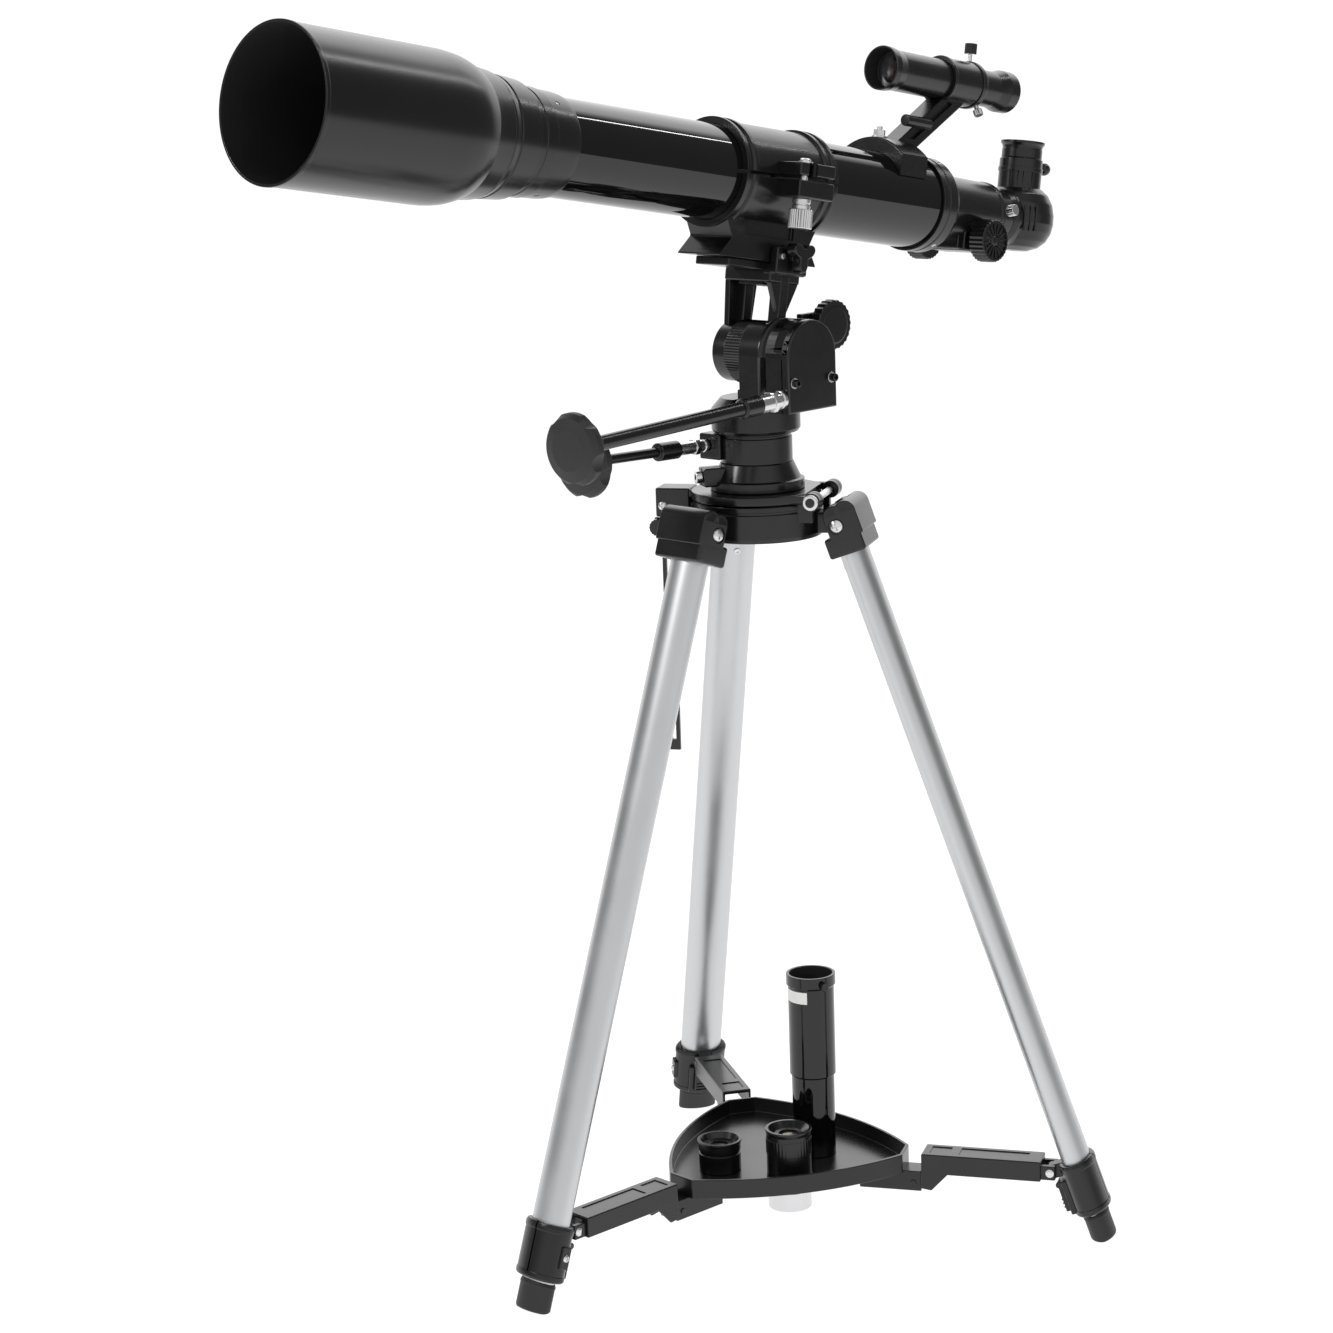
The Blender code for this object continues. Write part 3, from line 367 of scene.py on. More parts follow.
MATERIALS = {
    "black_plastic": finish(
        "moulded_black_plastic", (0.006, 0.006, 0.0062), 0.25, grain=1700, bump=0.1, wear=0.08),
    "black_casting": finish(
        "painted_black_casting", (0.005, 0.005, 0.0052), 0.24, grain=1100, bump=0.12, wear=0.08),
    "gloss_black": finish(
        "gloss_black_enamel", (0.003, 0.003, 0.0032), 0.05, grain=260, bump=0.012, shift=0.2),
    "anodised_aluminium": finish(
        "satin_anodised_aluminium", (0.6, 0.607, 0.615), 0.38, 1.0, grain=900, bump=0.07,
        stretch=(1, 1, 0.012), shift=0.02),
    "bright_metal": finish(
        "polished_plating", (0.7, 0.7, 0.71), 0.27, 1.0, grain=700, bump=0.03, shift=0.03),
    "coated_glass": finish(
        "coated_lens_glass", (0.9, 0.92, 0.93), 0.02, grain=500, bump=0.002, shift=0.02,
        Transmission_Weight=1.0, IOR=1.52, Thin_Film_Thickness=300.0, Thin_Film_IOR=1.38),}
SATIN_BLACK = finish(
    "satin_black_shell", (0.005, 0.005, 0.0052), 0.24, grain=1900, bump=0.05, shift=0.1, wear=0.05,
    blotch=6)
MATT_BLACK = finish("matt_black_inside", (0.006, 0.006, 0.006), 0.75, grain=1500, bump=0.3)
RUBBER = finish("black_rubber", (0.016, 0.016, 0.016), 0.55, grain=1200, bump=0.35)
LABEL = finish("blank_white_label", (0.8, 0.8, 0.78), 0.45, grain=900, bump=0.05, shift=0.03)
DARK_STEEL = finish("blackened_steel", (0.05, 0.05, 0.052), 0.25, 1.0, grain=900, bump=0.1)


# Placing --------------------------------------------------------------------------------

def show(name, mesh, at, body, material, inside=None):
    """A finished mesh in its own frame, riding on a body.

    inside, if given, is (material, test): faces whose centre passes the test take it.
    """
    thing = bpy.data.objects.new(name, mesh)
    mesh.name = name
    link(thing)
    thing.matrix_world = at
    mesh.materials.clear()
    mesh.materials.append(material)
    for face in mesh.polygons:
        face.material_index = 0
    if inside:
        mesh.materials.append(inside[0])
        for face in mesh.polygons:
            if inside[1](face.center / MM, face.normal):
                face.material_index = 1
    mesh.shade_smooth()
    mesh.set_sharp_from_angle(angle=SMOOTH_BELOW)
    weighted = thing.modifiers.new("even_normals", "WEIGHTED_NORMAL")
    weighted.keep_sharp = True
    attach(thing, body)
    return thing


def piece(node, mesh, at, material=None, inside=None):
    """The finished piece that stands for a CAD node."""
    slot = SLOT_OF[node]
    thing = show(
        node + "_fine", mesh, at, BODY_OF[node], material or MATERIALS[slot], inside)
    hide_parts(node)
    return thing


def extra(name, mesh, at, node, slot="bright_metal", material=None):
    """A small piece with no CAD node of its own, on the same body as a node."""
    return show(name, mesh, at, BODY_OF[node], material or MATERIALS[slot])


def facing(axis, x, y, z):
    """A frame at a point whose Z points along a signed axis name such as -Y."""
    turns = {"+X": turn(90, "Y"), "-X": turn(-90, "Y"), "+Y": turn(-90, "X"),
             "-Y": turn(90, "X"), "+Z": Matrix.Identity(4), "-Z": turn(180, "X")}
    return move(x, y, z) @ turns[axis]


def cross_screw(radius, height, at):
    """A domed screw head with a cross recess."""
    head = lathe([(0, height), (0.55 * radius, 0.93 * height), (0.88 * radius, 0.6 * height),
                  (radius, 0.15 * height), (radius, -0.6), (0, -0.6)], 40, 0.1)
    arm = 0.62 * radius
    wide = 0.12 * radius + 0.1
    floor = 0.25 * height
    made = fuse(head, minus(block((-arm, -wide, floor), (arm, wide, height + 2), 0),
                            block((-wide, -arm, floor + 0.02), (wide, arm, height + 2.1), 0)))
    made.transform(at)
    return made


def socket_screw(radius, height, at):
    """A cap screw with a six-sided socket."""
    head = lathe([(0, height), (radius, height), (radius, -0.6), (0, -0.6)], 40, 0.4)
    made = fuse(head, minus(lathe([(0, height + 1), (0.52 * radius, height + 1),
                                   (0.52 * radius, 0.3 * height), (0, 0.2 * height)], 6, 0)))
    made.transform(at)
    return made


def knurled(radius, start, end, count, depth, axis="Z", centre=(0, 0), at=None, soften=0.4):
    """A round grip with count flutes cut along it."""
    outline = []
    for number in range(count * len(FLUTE)):
        angle = 2 * math.pi * number / (count * len(FLUTE))
        dip = FLUTE[number % len(FLUTE)]
        reach = radius - depth * dip
        outline.append((reach * math.cos(angle), reach * math.sin(angle)))
    middle = {"Z": (centre[0], centre[1], 0), "X": (0, centre[0], centre[1]),
              "Y": (centre[0], 0, centre[1])}[axis]
    local = move(*middle) @ AXIS_TURN[axis]
    return prism(outline, start, end, soften, at=local if at is None else at @ local)


# Tripod ---------------------------------------------------------------------------------

LEG_PIVOT = (63.0, 529.0)
LEG_LENGTH = 560.3
TILT_AT = (48.0, 548.0)
SHORT_AT = (-14.0, -47.0)
LONG_AT = (34.5, -24.0)
ERECTING_AT = (17.4, 24.4)
TRAY_TOP = 44.3
CLAMP_SCREW_AT = (-20.6, -502.3)
ARM_PIN_AT = (209, 48)
ROD_PIVOT = (68.6, 540)
ROD_KNOB_AT = (72, 524.5)


def make_hub():
    base = lathe([(47, 545), (47, 541.5), (46.2, 541), (46.2, 539.6), (47, 539), (47, 522),
                  (46, 519), (40, 519), (40, 538), (6, 538), (6, 545)], 128, 0.6)
    lugs = []
    bores = []
    for azimuth in LEG_AZIMUTH.values():
        at = turn(azimuth)
        lugs += [
            block((40.5, -9, 521.5), (LEG_PIVOT[0], 9, 536.5), 1.0, at),
            cyl(7.5, -9, 9, "Y", LEG_PIVOT, soften=0.8, at=at),
            prism([(45, 520.5), (58, 521.5), (45, 538.5)], -3, 3, 0.8, at=at @ turn(90, "X"))]
        bores.append(cyl(3.4, -12, 12, "Y", LEG_PIVOT, 32, 0, at))
    wedge = turn(WEDGE_AZIMUTH)
    for low, high in mirrored(23.3, 29.0):
        lugs += [block((34, low, 532), (47.3, high, 546), 0.8, wedge),
                 cyl(6.3, low, high, "Y", TILT_AT, soften=0.6, at=wedge)]
        bores.append(cyl(3.0, low - 2, high + 2, "Y", TILT_AT, 32, 0, wedge))
    back = turn(WEDGE_AZIMUTH + 180)
    lugs.append(block((44, 3.0, 520), (76, 8.5, 531), 0.8, back))
    bores.append(cyl(2.6, 0, 12, "Y", ROD_KNOB_AT, 32, 0, back))
    piece("hub", fuse(base, plus(*lugs), minus(*bores)), STAND)


def make_leg(side):
    at = LEG[side]
    head = fuse(
        block((-13, -22.5, -22), (15, 22.5, -7), 2.0),
        plus(
            block((-8, -22.5, -10), (17, 22.5, 9), 1.2),
            cyl(8, -22.4, 22.4, "Y", (9, 8), soften=1.2),
            cyl(8, -22.4, 22.4, "Y", (0, 7), soften=1.2)),
        minus(
            block((-20, -9.4, -8), (9.5, 9.4, 30), 0.3), oval(10.6, 16.8, -30, -11.7, 0.2),
            cyl(3.4, -30, 30, "Y", (0, 0), 32, 0), cyl(6.2, 21.6, 30, "Y", (0, 0), 48, 0),
            cyl(6.2, -30, -21.6, "Y", (0, 0), 48, 0)))
    piece("leg_top_" + side, head, at)
    for name, sign in (("near", "-Y"), ("far", "+Y")):
        place = facing(sign, 0, -21.6 if sign == "-Y" else 21.6, 0)
        extra(
            f"leg_pivot_screw_{name}_{side}", cross_screw(4.9, 2.6, place), at, "leg_top_" + side)
    inner_screw = socket_screw(2.5, 0.9, facing("-X", -10.2, 0, -32))
    extra("leg_inner_screw_" + side, inner_screw, at, "leg_tube_" + side)
    extra("leg_pivot_sleeve_" + side, cyl(3.2, -21.5, 21.5, "Y", (0, 0), 32, 0.2), at,
          "leg_top_" + side)
    tube = fuse(oval(10.3, 16.5, -520, -12, 0.3, 128), minus(oval(8.8, 15, -530, 0, 0, 96)))
    piece("leg_tube_" + side, tube, at)
    inner = fuse(oval(8.1, 14.2, -545.7, -70, 0.3), minus(oval(6.6, 12.7, -560, 0, 0)))
    piece("inner_leg_" + side, inner, at)
    ground = at.inverted() @ STAND
    foot = fuse(
        oval(9.2, 15.3, -LEG_LENGTH - 1, -539.5, 2.2), plus(oval(9.5, 15.6, -543.5, -541.5, 0.4)),
        minus(
            oval(8.4, 14.5, -546, -500, 0.2), block((-400, -400, -60), (400, 400, 0), 0, ground)))
    piece("foot_" + side, foot, at, RUBBER)
    make_clamp(side, at)
    make_arm(side)


def make_clamp(side, at):
    clamp = fuse(
        oval(13, 20.5, -538, -498, 1.6, 128),
        plus(
            oval(13.5, 21, -503.5, -499.5, 0.8), oval(13.5, 21, -537, -533, 0.8),
            block((-21, -5.2, -508), (-10, 5.2, -497.6), 0.8),
            cyl(5, -5.2, 5.2, "Y", CLAMP_SCREW_AT, 40, 0.7),
            block((-14.6, -12, -536), (-8, 12, -510), 1.0),
            block((-4, 19, -527), (4, 22.4, -511), 0.8)),
        minus(
            oval(10.6, 16.8, -520.3, -480, 0.2), oval(8.4, 14.5, -560, -500, 0),
            cyl(2.2, -9, 9, "Y", CLAMP_SCREW_AT, 32, 0),
            block((9, -0.7, -534), (20, 0.7, -490), 0)))
    piece("leg_clamp_" + side, clamp, at)
    extra("clamp_screw_" + side, cross_screw(2.6, 1.2, facing("+Y", 0, 22.4, -519)), at,
          "leg_clamp_" + side)
    grip = [block((-19.4, -7, z), (-18.0, 7, z + 1.2), 0.3) for z in (-531, -528, -525)]
    lever = fuse(block((-18.6, -8, -534), (-15, 8, -513), 1.0),
                 plus(cyl(2.4, -8, 8, "Y", (-17.4, -513), 32, 0.4), *grip))
    piece("leg_lever_" + side, lever, at)


def make_arm(side):
    at = STAND @ turn(LEG_AZIMUTH[side])
    heel = [(113.4, 30), (121, 29), (133, 41.7), (133, 45), (113.4, 45)]
    arm = fuse(
        block((113.4, -11.5, 41.7), (202.5, 11.5, 57), 1.1),
        plus(
            prism(heel, -11.5, 11.5, 0.7, 1.0, at=turn(90, "X")),
            block((198, -9.2, 42.6), (213, 9.2, 53.4), 0.9)),
        minus(
            block((100, -9.6, 10), (199, 9.6, 54.5), 0.6),
            block((190, -5.5, 10), (230, 5.5, 54.5), 0.3),
            cyl(2.2, -20, 20, "Y", ARM_PIN_AT, 32, 0),
            block((141, -7.2, 56.3), (192, 7.2, 60), 0.3),
            block((119, -7.2, 56.3), (134, 7.2, 60), 0.3)))
    piece("brace_arm_" + side, arm, at)
    pin = lathe([(0, 9.9), (1.6, 9.9), (3.1, 9.3), (3.1, 9.2), (2.1, 9.2), (2.1, -9.2),
                 (3.1, -9.2), (3.1, -9.3), (1.6, -9.9), (0, -9.9)], 32, 0.1,
                move(ARM_PIN_AT[0], 0, ARM_PIN_AT[1]) @ AXIS_TURN["Y"])
    extra("arm_pin_" + side, pin, at, "brace_arm_" + side)


def polar(radius, azimuth, across=0.0):
    angle = math.radians(azimuth)
    return (radius * math.cos(angle) - across * math.sin(angle),
            radius * math.sin(angle) + across * math.cos(angle))


def tray_outline(inset=0.0, steps=14):
    """Three clipped corners at the legs, joined by sides that bow outward."""
    corner = 99.5 - inset
    clip = 11.5 - 0.6 * inset
    points = []
    for azimuth in LEG_AZIMUTH.values():
        first = Vector(polar(corner, azimuth, clip))
        last = Vector(polar(corner, azimuth + 120, -clip))
        bow = Vector(polar(75.3 - inset, azimuth + 60)) - (first + last) / 2
        points.append(polar(corner, azimuth, -clip))
        points.append(tuple(first))
        for number in range(1, steps):
            share = number / steps
            points.append(tuple(first.lerp(last, share) + bow * 4 * share * (1 - share)))
    return points


def make_tray():
    brackets = []
    channels = []
    for azimuth in LEG_AZIMUTH.values():
        at = turn(azimuth)
        brackets.append(block((66, -9.1, 27), (112.9, 9.1, 42.5), 0.8, at))
        channels.append(block((60, -7.1, 10), (130, 7.1, 39.7), 0.4, at))
    tray = fuse(
        prism(tray_outline(), 41, 55.5, 0.7, 2.5),
        minus(prism(tray_outline(2.2), 44, 80, 0.6, 2.0)), plus(*brackets),
        minus(*channels, cyl(16.4, 20, 60, "Z", LONG_AT, 96, 0)))
    piece("tray", tray, STAND)
    for side, azimuth in LEG_AZIMUTH.items():
        at = turn(azimuth)
        pins = cyl(2.2, -9.9, 9.9, "Y", (107, 33.5), 32, 0.5, at)
        extra("tray_pin_" + side, pins, STAND, "tray", "black_plastic")


def make_accessories():
    short = fuse(lathe([(0, 63.2), (12, 63.4), (14.3, 67.8), (16.5, 67.8), (16.5, 66.2),
                        (15.6, 65.2), (15.6, 60), (14.9, 59.6), (14.9, 58), (15.6, 57.6),
                        (15.6, TRAY_TOP), (0, TRAY_TOP)], 96, 0.3),
                 minus(cyl(6.5, 61.5, 70, "Z", (0, 0), 48, 0.3)))
    place = STAND @ move(*SHORT_AT, 0)
    piece("short_eyepiece", short, place)
    lens = lathe([(0, 62.9), (3.5, 62.6), (6.45, 61.8), (6.45, 61.3), (0, 61.3)], 48, 0.05)
    extra("short_eyepiece_lens", lens, place, "short_eyepiece", "coated_glass")
    place = STAND @ move(*LONG_AT, 0)
    grip = knurled(17.0, 62, 74, 40, 0.35)
    long_top = fuse(lathe([(0, 76), (10.5, 76.6), (15.2, 80.8), (17.3, 80.8), (17.3, 79.4),
                           (16.6, 77), (16.6, 46), (16.9, 45.4), (16.9, TRAY_TOP),
                           (0, TRAY_TOP)], 96, 0.35),
                    plus(grip), minus(cyl(7.5, 74.6, 90, "Z", (0, 0), 48, 0.3)))
    piece("long_eyepiece", long_top, place, MATERIALS["black_plastic"])
    barrel = lathe([(0, 44), (15.9, 44), (15.9, 38), (15.4, 37.6), (15.4, 34.4), (15.9, 34),
                    (15.9, 20.5), (14.6, 20.5), (14.6, 30), (0, 30)], 96, 0.25)
    extra("long_eyepiece_barrel", barrel, place, "long_eyepiece")
    lens = lathe([(0, 76.3), (4, 76), (7.4, 75), (7.4, 74.3), (0, 74.3)], 48, 0.05)
    extra("long_eyepiece_lens", lens, place, "long_eyepiece", "coated_glass")
    place = STAND @ move(*ERECTING_AT, 0)
    erecting = lathe([(0, 150), (13.5, 150), (15.9, 155), (15.9, 184.5), (16.4, 185),
                      (18.4, 185), (18.4, 176.9), (17.2, 175.5), (17.2, 107), (15.9, 105.8),
                      (15.9, TRAY_TOP), (0, TRAY_TOP)], 128, 0.4)
    erecting = fuse(erecting, minus(cyl(1.9, 12, 25, "X", (0, 179), 32, 0, turn(-20))))
    piece("erecting_tube", erecting, place, MATERIALS["gloss_black"],
          (MATT_BLACK, lambda c, n: c.z > 149 and c.xy.length < 16.2))
    extra("erecting_tube_screw", knurled(3.2, 18.7, 22.5, 14, 0.3, "X", (0, 179), turn(-20)),
          place, "erecting_tube", "black_plastic")
    extra("erecting_tube_label", label_patch(17.22, -97, 76, 174, 165), place,
          "erecting_tube", "black_plastic", LABEL)


def label_patch(radius, azimuth, width, top, bottom):
    """A thin curved label on a round tube, width degrees wide."""
    build = bmesh.new()
    columns = []
    for number in range(13):
        angle = math.radians(azimuth - width / 2 + width * number / 12)
        ring = []
        for reach, height in ((radius - 0.2, bottom), (radius + 0.06, bottom),
                              (radius + 0.06, top), (radius - 0.2, top)):
            ring.append(build.verts.new(
                (reach * math.cos(angle) * MM, reach * math.sin(angle) * MM, height * MM)))
        columns.append(ring)
    build.faces.new(columns[0])
    build.faces.new(columns[-1])
    for here, after in zip(columns, columns[1:]):
        for corner in range(4):
            following = (corner + 1) % 4
            build.faces.new((here[corner], after[corner], after[following], here[following]))
    return mesh_from(build)


# Latitude wedge -------------------------------------------------------------------------

def make_wedge():
    at = turn(WEDGE_AZIMUTH)
    base = lathe([(48, 552.4), (48, 546.4), (5, 546.4), (5, 552.4)], 128, 0.8)
    ears = []
    bores = []
    for low, high in mirrored(29.3, 35.0):
        ears += [block((18, low, 546.9), (47.3, high, 552.0), 0.6, at),
                 cyl(6.3, low, high, "Y", TILT_AT, 48, 0.7, at)]
        bores.append(cyl(3.0, low - 2, high + 2, "Y", TILT_AT, 32, 0, at))
    fin = [block((-74, -11, 532), (-48.3, 11, 553), 1.2, at),
           block((-60, -10.6, 547.0), (-35, 10.6, 551.8), 0.5, at)]
    tilt = fuse(
        base, minus(block((41.2, -29, 540), (60, 29, 560), 0, at)), plus(*ears, *fin),
        minus(
            *bores, block((-80, -1.9, 520), (-56, 1.9, 549), 0.2, at),
            cyl(2.2, -20, 20, "Y", (-ROD_PIVOT[0], ROD_PIVOT[1]), 32, 0, at)))
    piece("tilt_plate", tilt, STAND, MATERIALS["black_casting"])
    frame_here = STAND @ at
    bolt = fuse(cyl(2.5, -36, 36, "Y", TILT_AT, 32, 0.3),
                plus(cyl(5.6, -38.6, -35.2, "Y", TILT_AT, 64, 0.9),
                     cyl(5.0, 35.2, 38.4, "Y", TILT_AT, 6, 0.3)))
    piece("hinge_bolt", bolt, frame_here)
    cap = cyl(3.4, -39.4, -38.0, "Y", TILT_AT, 48, 0.4)
    extra("hinge_bolt_button", cap, frame_here, "hinge_bolt", "black_plastic")
    back = STAND @ turn(WEDGE_AZIMUTH + 180)
    rod = fuse(
        block((64.1, -1.5, 356), (73.1, 1.5, 540), 0.3),
        plus(cyl(4.5, -1.5, 1.5, "Y", ROD_PIVOT, 48, 0.3)),
        minus(cyl(2.2, -5, 5, "Y", ROD_PIVOT, 32, 0), block((67, -5, 364), (70.2, 5, 530), 0.1)))
    piece("latitude_rod", rod, back, DARK_STEEL)
    pin = cross_screw(3.4, 1.4, facing("+Y", ROD_PIVOT[0], 11, ROD_PIVOT[1]))
    extra("latitude_pin", pin, back, "tilt_plate")
    knob = fuse(knurled(6.4, 9.0, 15, 16, 0.5, "Y", ROD_KNOB_AT),
                plus(cyl(2.2, 3.4, 10, "Y", ROD_KNOB_AT, 32, 0.2)))
    piece("rod_knob", knob, back)


# Head -----------------------------------------------------------------------------------

def make_azimuth_stack():
    clamp = turn(-120)
    cone = fuse(lathe([(26.4, 572), (27.4, 569.6), (31.5, 560.4), (34, 559.6), (34, 552.7),
                       (4, 552.7), (4, 572)], 128, 0.6),
                plus(block((24, -8, 556.5), (42, 8, 570), 1.4, clamp)),
                minus(block((20, -0.8, 553), (50, 0.8, 575), 0, clamp),
                      cyl(2.6, 24, 60, "X", (0, 563.5), 32, 0, clamp)))
    piece("azimuth_base", cone, STAND)
    at = STAND @ clamp
    screw = socket_screw(4.6, 3.6, facing("+X", 43, 0, 563.5))
    shank = cyl(2.3, 26, 43, "X", (0, 563.5), 32, 0.1)
    piece("azimuth_screw", gather(screw, shank), at)
    worm = STAND.inverted() @ AZIMUTH_WORM
    ring = fuse(lathe([(25.8, 593.6), (25.8, 592.4), (25.0, 592), (25.0, 590.6), (25.8, 590.2),
                       (25.8, 572.3), (4, 572.3), (4, 593.6)], 128, 0.4),
                plus(block((-32, -26.4, 574.5), (-12, 16, 593.3), 1.6),
                     cyl(8.6, -24, -3, "Z", (0, 0), 64, 0.8, worm)),
                minus(cyl(4.4, -26, 20, "Z", (0, 0), 40, 0, worm)))
    piece("worm_ring", ring, STAND)
    shoulder = fuse(
        lathe([(0, 619), (25, 619), (31.5, 611.6), (31.5, 610), (0, 610)], 128, 0.8),
        minus(block((1.2, -50, 600), (60, 50, 630), 0)))
    cup = fuse(
        lathe([(32, 611.2), (32, 596.4), (30.4, 593.9), (4, 593.9), (4, 611.2)], 128, 0.7),
        plus(shoulder))
    piece("head_base", cup, STAND)


def make_control(name, at, stub, sleeve, bar, reach):
    """A plated worm shaft, its black sleeve, the long bar and the lobed hand knob."""
    wide, near, far = sleeve
    shaft = lathe(
        [
            (0, reach - 14), (bar, reach - 14), (bar, far), (wide - 0.9, far), (wide - 0.9, near),
            (stub[0], near), (stub[0], 5.4), (stub[0] - 0.9, 5.0), (stub[0] - 0.9, 3.6),
            (stub[0], 3.2), (stub[0], 0.6), (3.8, 0.6), (3.8, stub[1]), (0, stub[1])],
        72, 0.25)
    piece(name + "_shaft", shaft, at, inside=(MATERIALS["black_plastic"], lambda c, n: c.z > near))
    nut = lathe([(0, 13.4), (stub[0] + 1.3, 13.4), (stub[0] + 1.3, 9.2), (0, 9.2)], 6, 0.3)
    extra(name + "_lock_nut", nut, at, name + "_shaft")
    cover = lathe([(0, far + 0.4), (bar + 0.5, far + 0.4), (wide, far - 1.2),
                   (wide, near + 0.8), (wide - 0.7, near - 0.2), (0, near - 0.2)], 72,
                  0.4)
    extra(name + "_sleeve", cover, at, name + "_shaft", "black_plastic")
    middle = (near + far) / 2
    grub = socket_screw(2.3, 1.6, facing("-X", -wide + 0.2, 0, middle))
    extra(name + "_sleeve_screw", grub, at, name + "_shaft", "bright_metal", DARK_STEEL)
    body = lathe([(0, reach), (14, reach - 0.5), (21.5, reach - 2.4), (24.5, reach - 6),
                  (24.5, reach - 10.5), (22, reach - 13), (12.5, reach - 14), (10.5, reach - 17),
                  (9, reach - 27), (bar + 0.3, reach - 27), (bar + 0.3, reach - 13.6),
                  (0, reach - 13.6)], 160, 1.4)
    scallops = [cyl(11, reach - 20, reach + 5, "Z", polar(32.5, 90 + (n + 0.5) * 72), 64, 0)
                for n in range(5)]
    piece(name + "_knob", fuse(body, minus(gather(*scallops))), at, RUBBER)


HOUSING_RADIUS = 25.8
COVER_INSIDE = 23.5
COVER_OUTSIDE = 25.7
COVER_BACK = -9
LOCK_AT = (46, 667)


def make_gear_housing():
    axis = STAND.inverted() @ ALTITUDE.translation
    y = axis.y / MM
    z = axis.z / MM
    worm = STAND.inverted() @ ALTITUDE_WORM
    front = y - HOUSING_RADIUS
    rear = y + HOUSING_RADIUS
    tomb = [(front, 611.5), (front, z)]
    for number in range(1, 24):
        angle = math.pi - math.pi * number / 24
        tomb.append((y + HOUSING_RADIUS * math.cos(angle), z + HOUSING_RADIUS * math.sin(angle)))
    tomb += [(rear, z), (rear, 611.5)]
    cover = [(COVER_BACK, 611.8), (COVER_BACK, 630.0)]
    for number in range(1, 15):
        angle = math.radians(212 + 116 * number / 15)
        cover.append((y + COVER_INSIDE * math.sin(angle), z + COVER_INSIDE * math.cos(angle)))
    cover.append((COVER_BACK, 670.0))
    for number in range(17):
        angle = math.radians(331.3 - 61.3 * number / 16)
        cover.append((y + COVER_OUTSIDE * math.sin(angle), z + COVER_OUTSIDE * math.cos(angle)))
    cover.append((y - COVER_OUTSIDE, 611.8))
    grooves = []
    for at_x in (30.2, 45.6):
        ring = fuse(cyl(27.5, at_x, at_x + 0.9, "X", (y, z), 96, 0),
                    minus(cyl(25.2, at_x - 1, at_x + 2, "X", (y, z), 96, 0),
                          block((at_x - 2, y - 40, 600), (at_x + 3, y + 40, z), 0)))
        line = block((at_x, front - 2, 600), (at_x + 0.9, front + 0.6, z), 0)
        grooves += [ring, line]
    housing = fuse(
        prism(tomb, 21.3, 52.4, 1.6, at=SIDE_ON),
        plus(
            prism(cover, 5, 23.7, 0.6, at=SIDE_ON),
            block((2, y - 24.5, 611.7), (25, rear - 1.8, 626), 0.8),
            block((21.5, 22, 657.6), (27.0, 45.5, 676.4), 1.0),
            cyl(10, 21.6, 26.9, "X", LOCK_AT, 64, 0.8)),
        minus(
            cyl(6.3, 10, 36, "X", (y, z), 48, 0), cyl(3.0, 10, 40, "X", LOCK_AT, 40, 0),
            cyl(4.4, -30, 20, "Z", (0, 0), 40, 0, worm), *grooves))
    piece("gear_housing", housing, STAND)
    for number, (sy, sz) in enumerate(((-16.5, 633), (23.3, 633))):
        place = facing("+X", 52.2, sy, sz)
        washer = cyl(3.8, -0.6, 0.7, "Z", (0, 0), 48, 0.2, place)
        extra(f"housing_washer_{number}", washer, STAND, "gear_housing")
        extra(f"housing_screw_{number}", socket_screw(2.8, 4.6, place), STAND, "gear_housing",
              "black_plastic")


def make_altitude_pieces():
    axis = STAND.inverted() @ ALTITUDE.translation
    at = (axis.y / MM, axis.z / MM)
    axle = fuse(
        cyl(6.0, -27, 35.5, "X", at, 48, 0.3),
        plus(lathe(
            [(0, 29), (9, 28.8), (13.2, 28.2), (15, 26.4), (15, 24.3), (0, 24.3)], 96, 0.5,
            move(0, *at) @ turn(-90, "Y"))),
        minus(cyl(1.7, -30, -28.4, "X", at, 32, 0)))
    piece("altitude_axle", axle, STAND)
    dot = lathe(
        [(0, 29.2), (1.5, 28.9), (1.5, 28.2), (0, 28.2)], 32, 0.1, move(0, *at) @ turn(-90, "Y"))
    extra("axle_dot", dot, STAND, "altitude_axle")
    wheel = fuse(knurled(22.9, -11.7, 10.5, 72, 0.5, "X", at, soften=0.3),
                 minus(cyl(6.3, -20, 20, "X", at, 48, 0)))
    piece("altitude_wheel", wheel, STAND, DARK_STEEL)
    lock = STAND @ move(0, *LOCK_AT) @ turn(90, "Y")
    knob = fuse(
        knurled(18, 29, 37.4, 24, 0.8, soften=1.0),
        plus(
            lathe([(0, 38), (12.5, 38), (14.6, 37.2), (14.6, 36), (0, 36)], 96, 0.4),
            lathe([(12, 30), (12, 27.4), (2.7, 27.4), (2.7, 0), (0, 0), (0, 30)], 64, 0.3)))
    piece("lock_knob", knob, lock)


SADDLE_KNOB_AT = (24.0, -51.5)


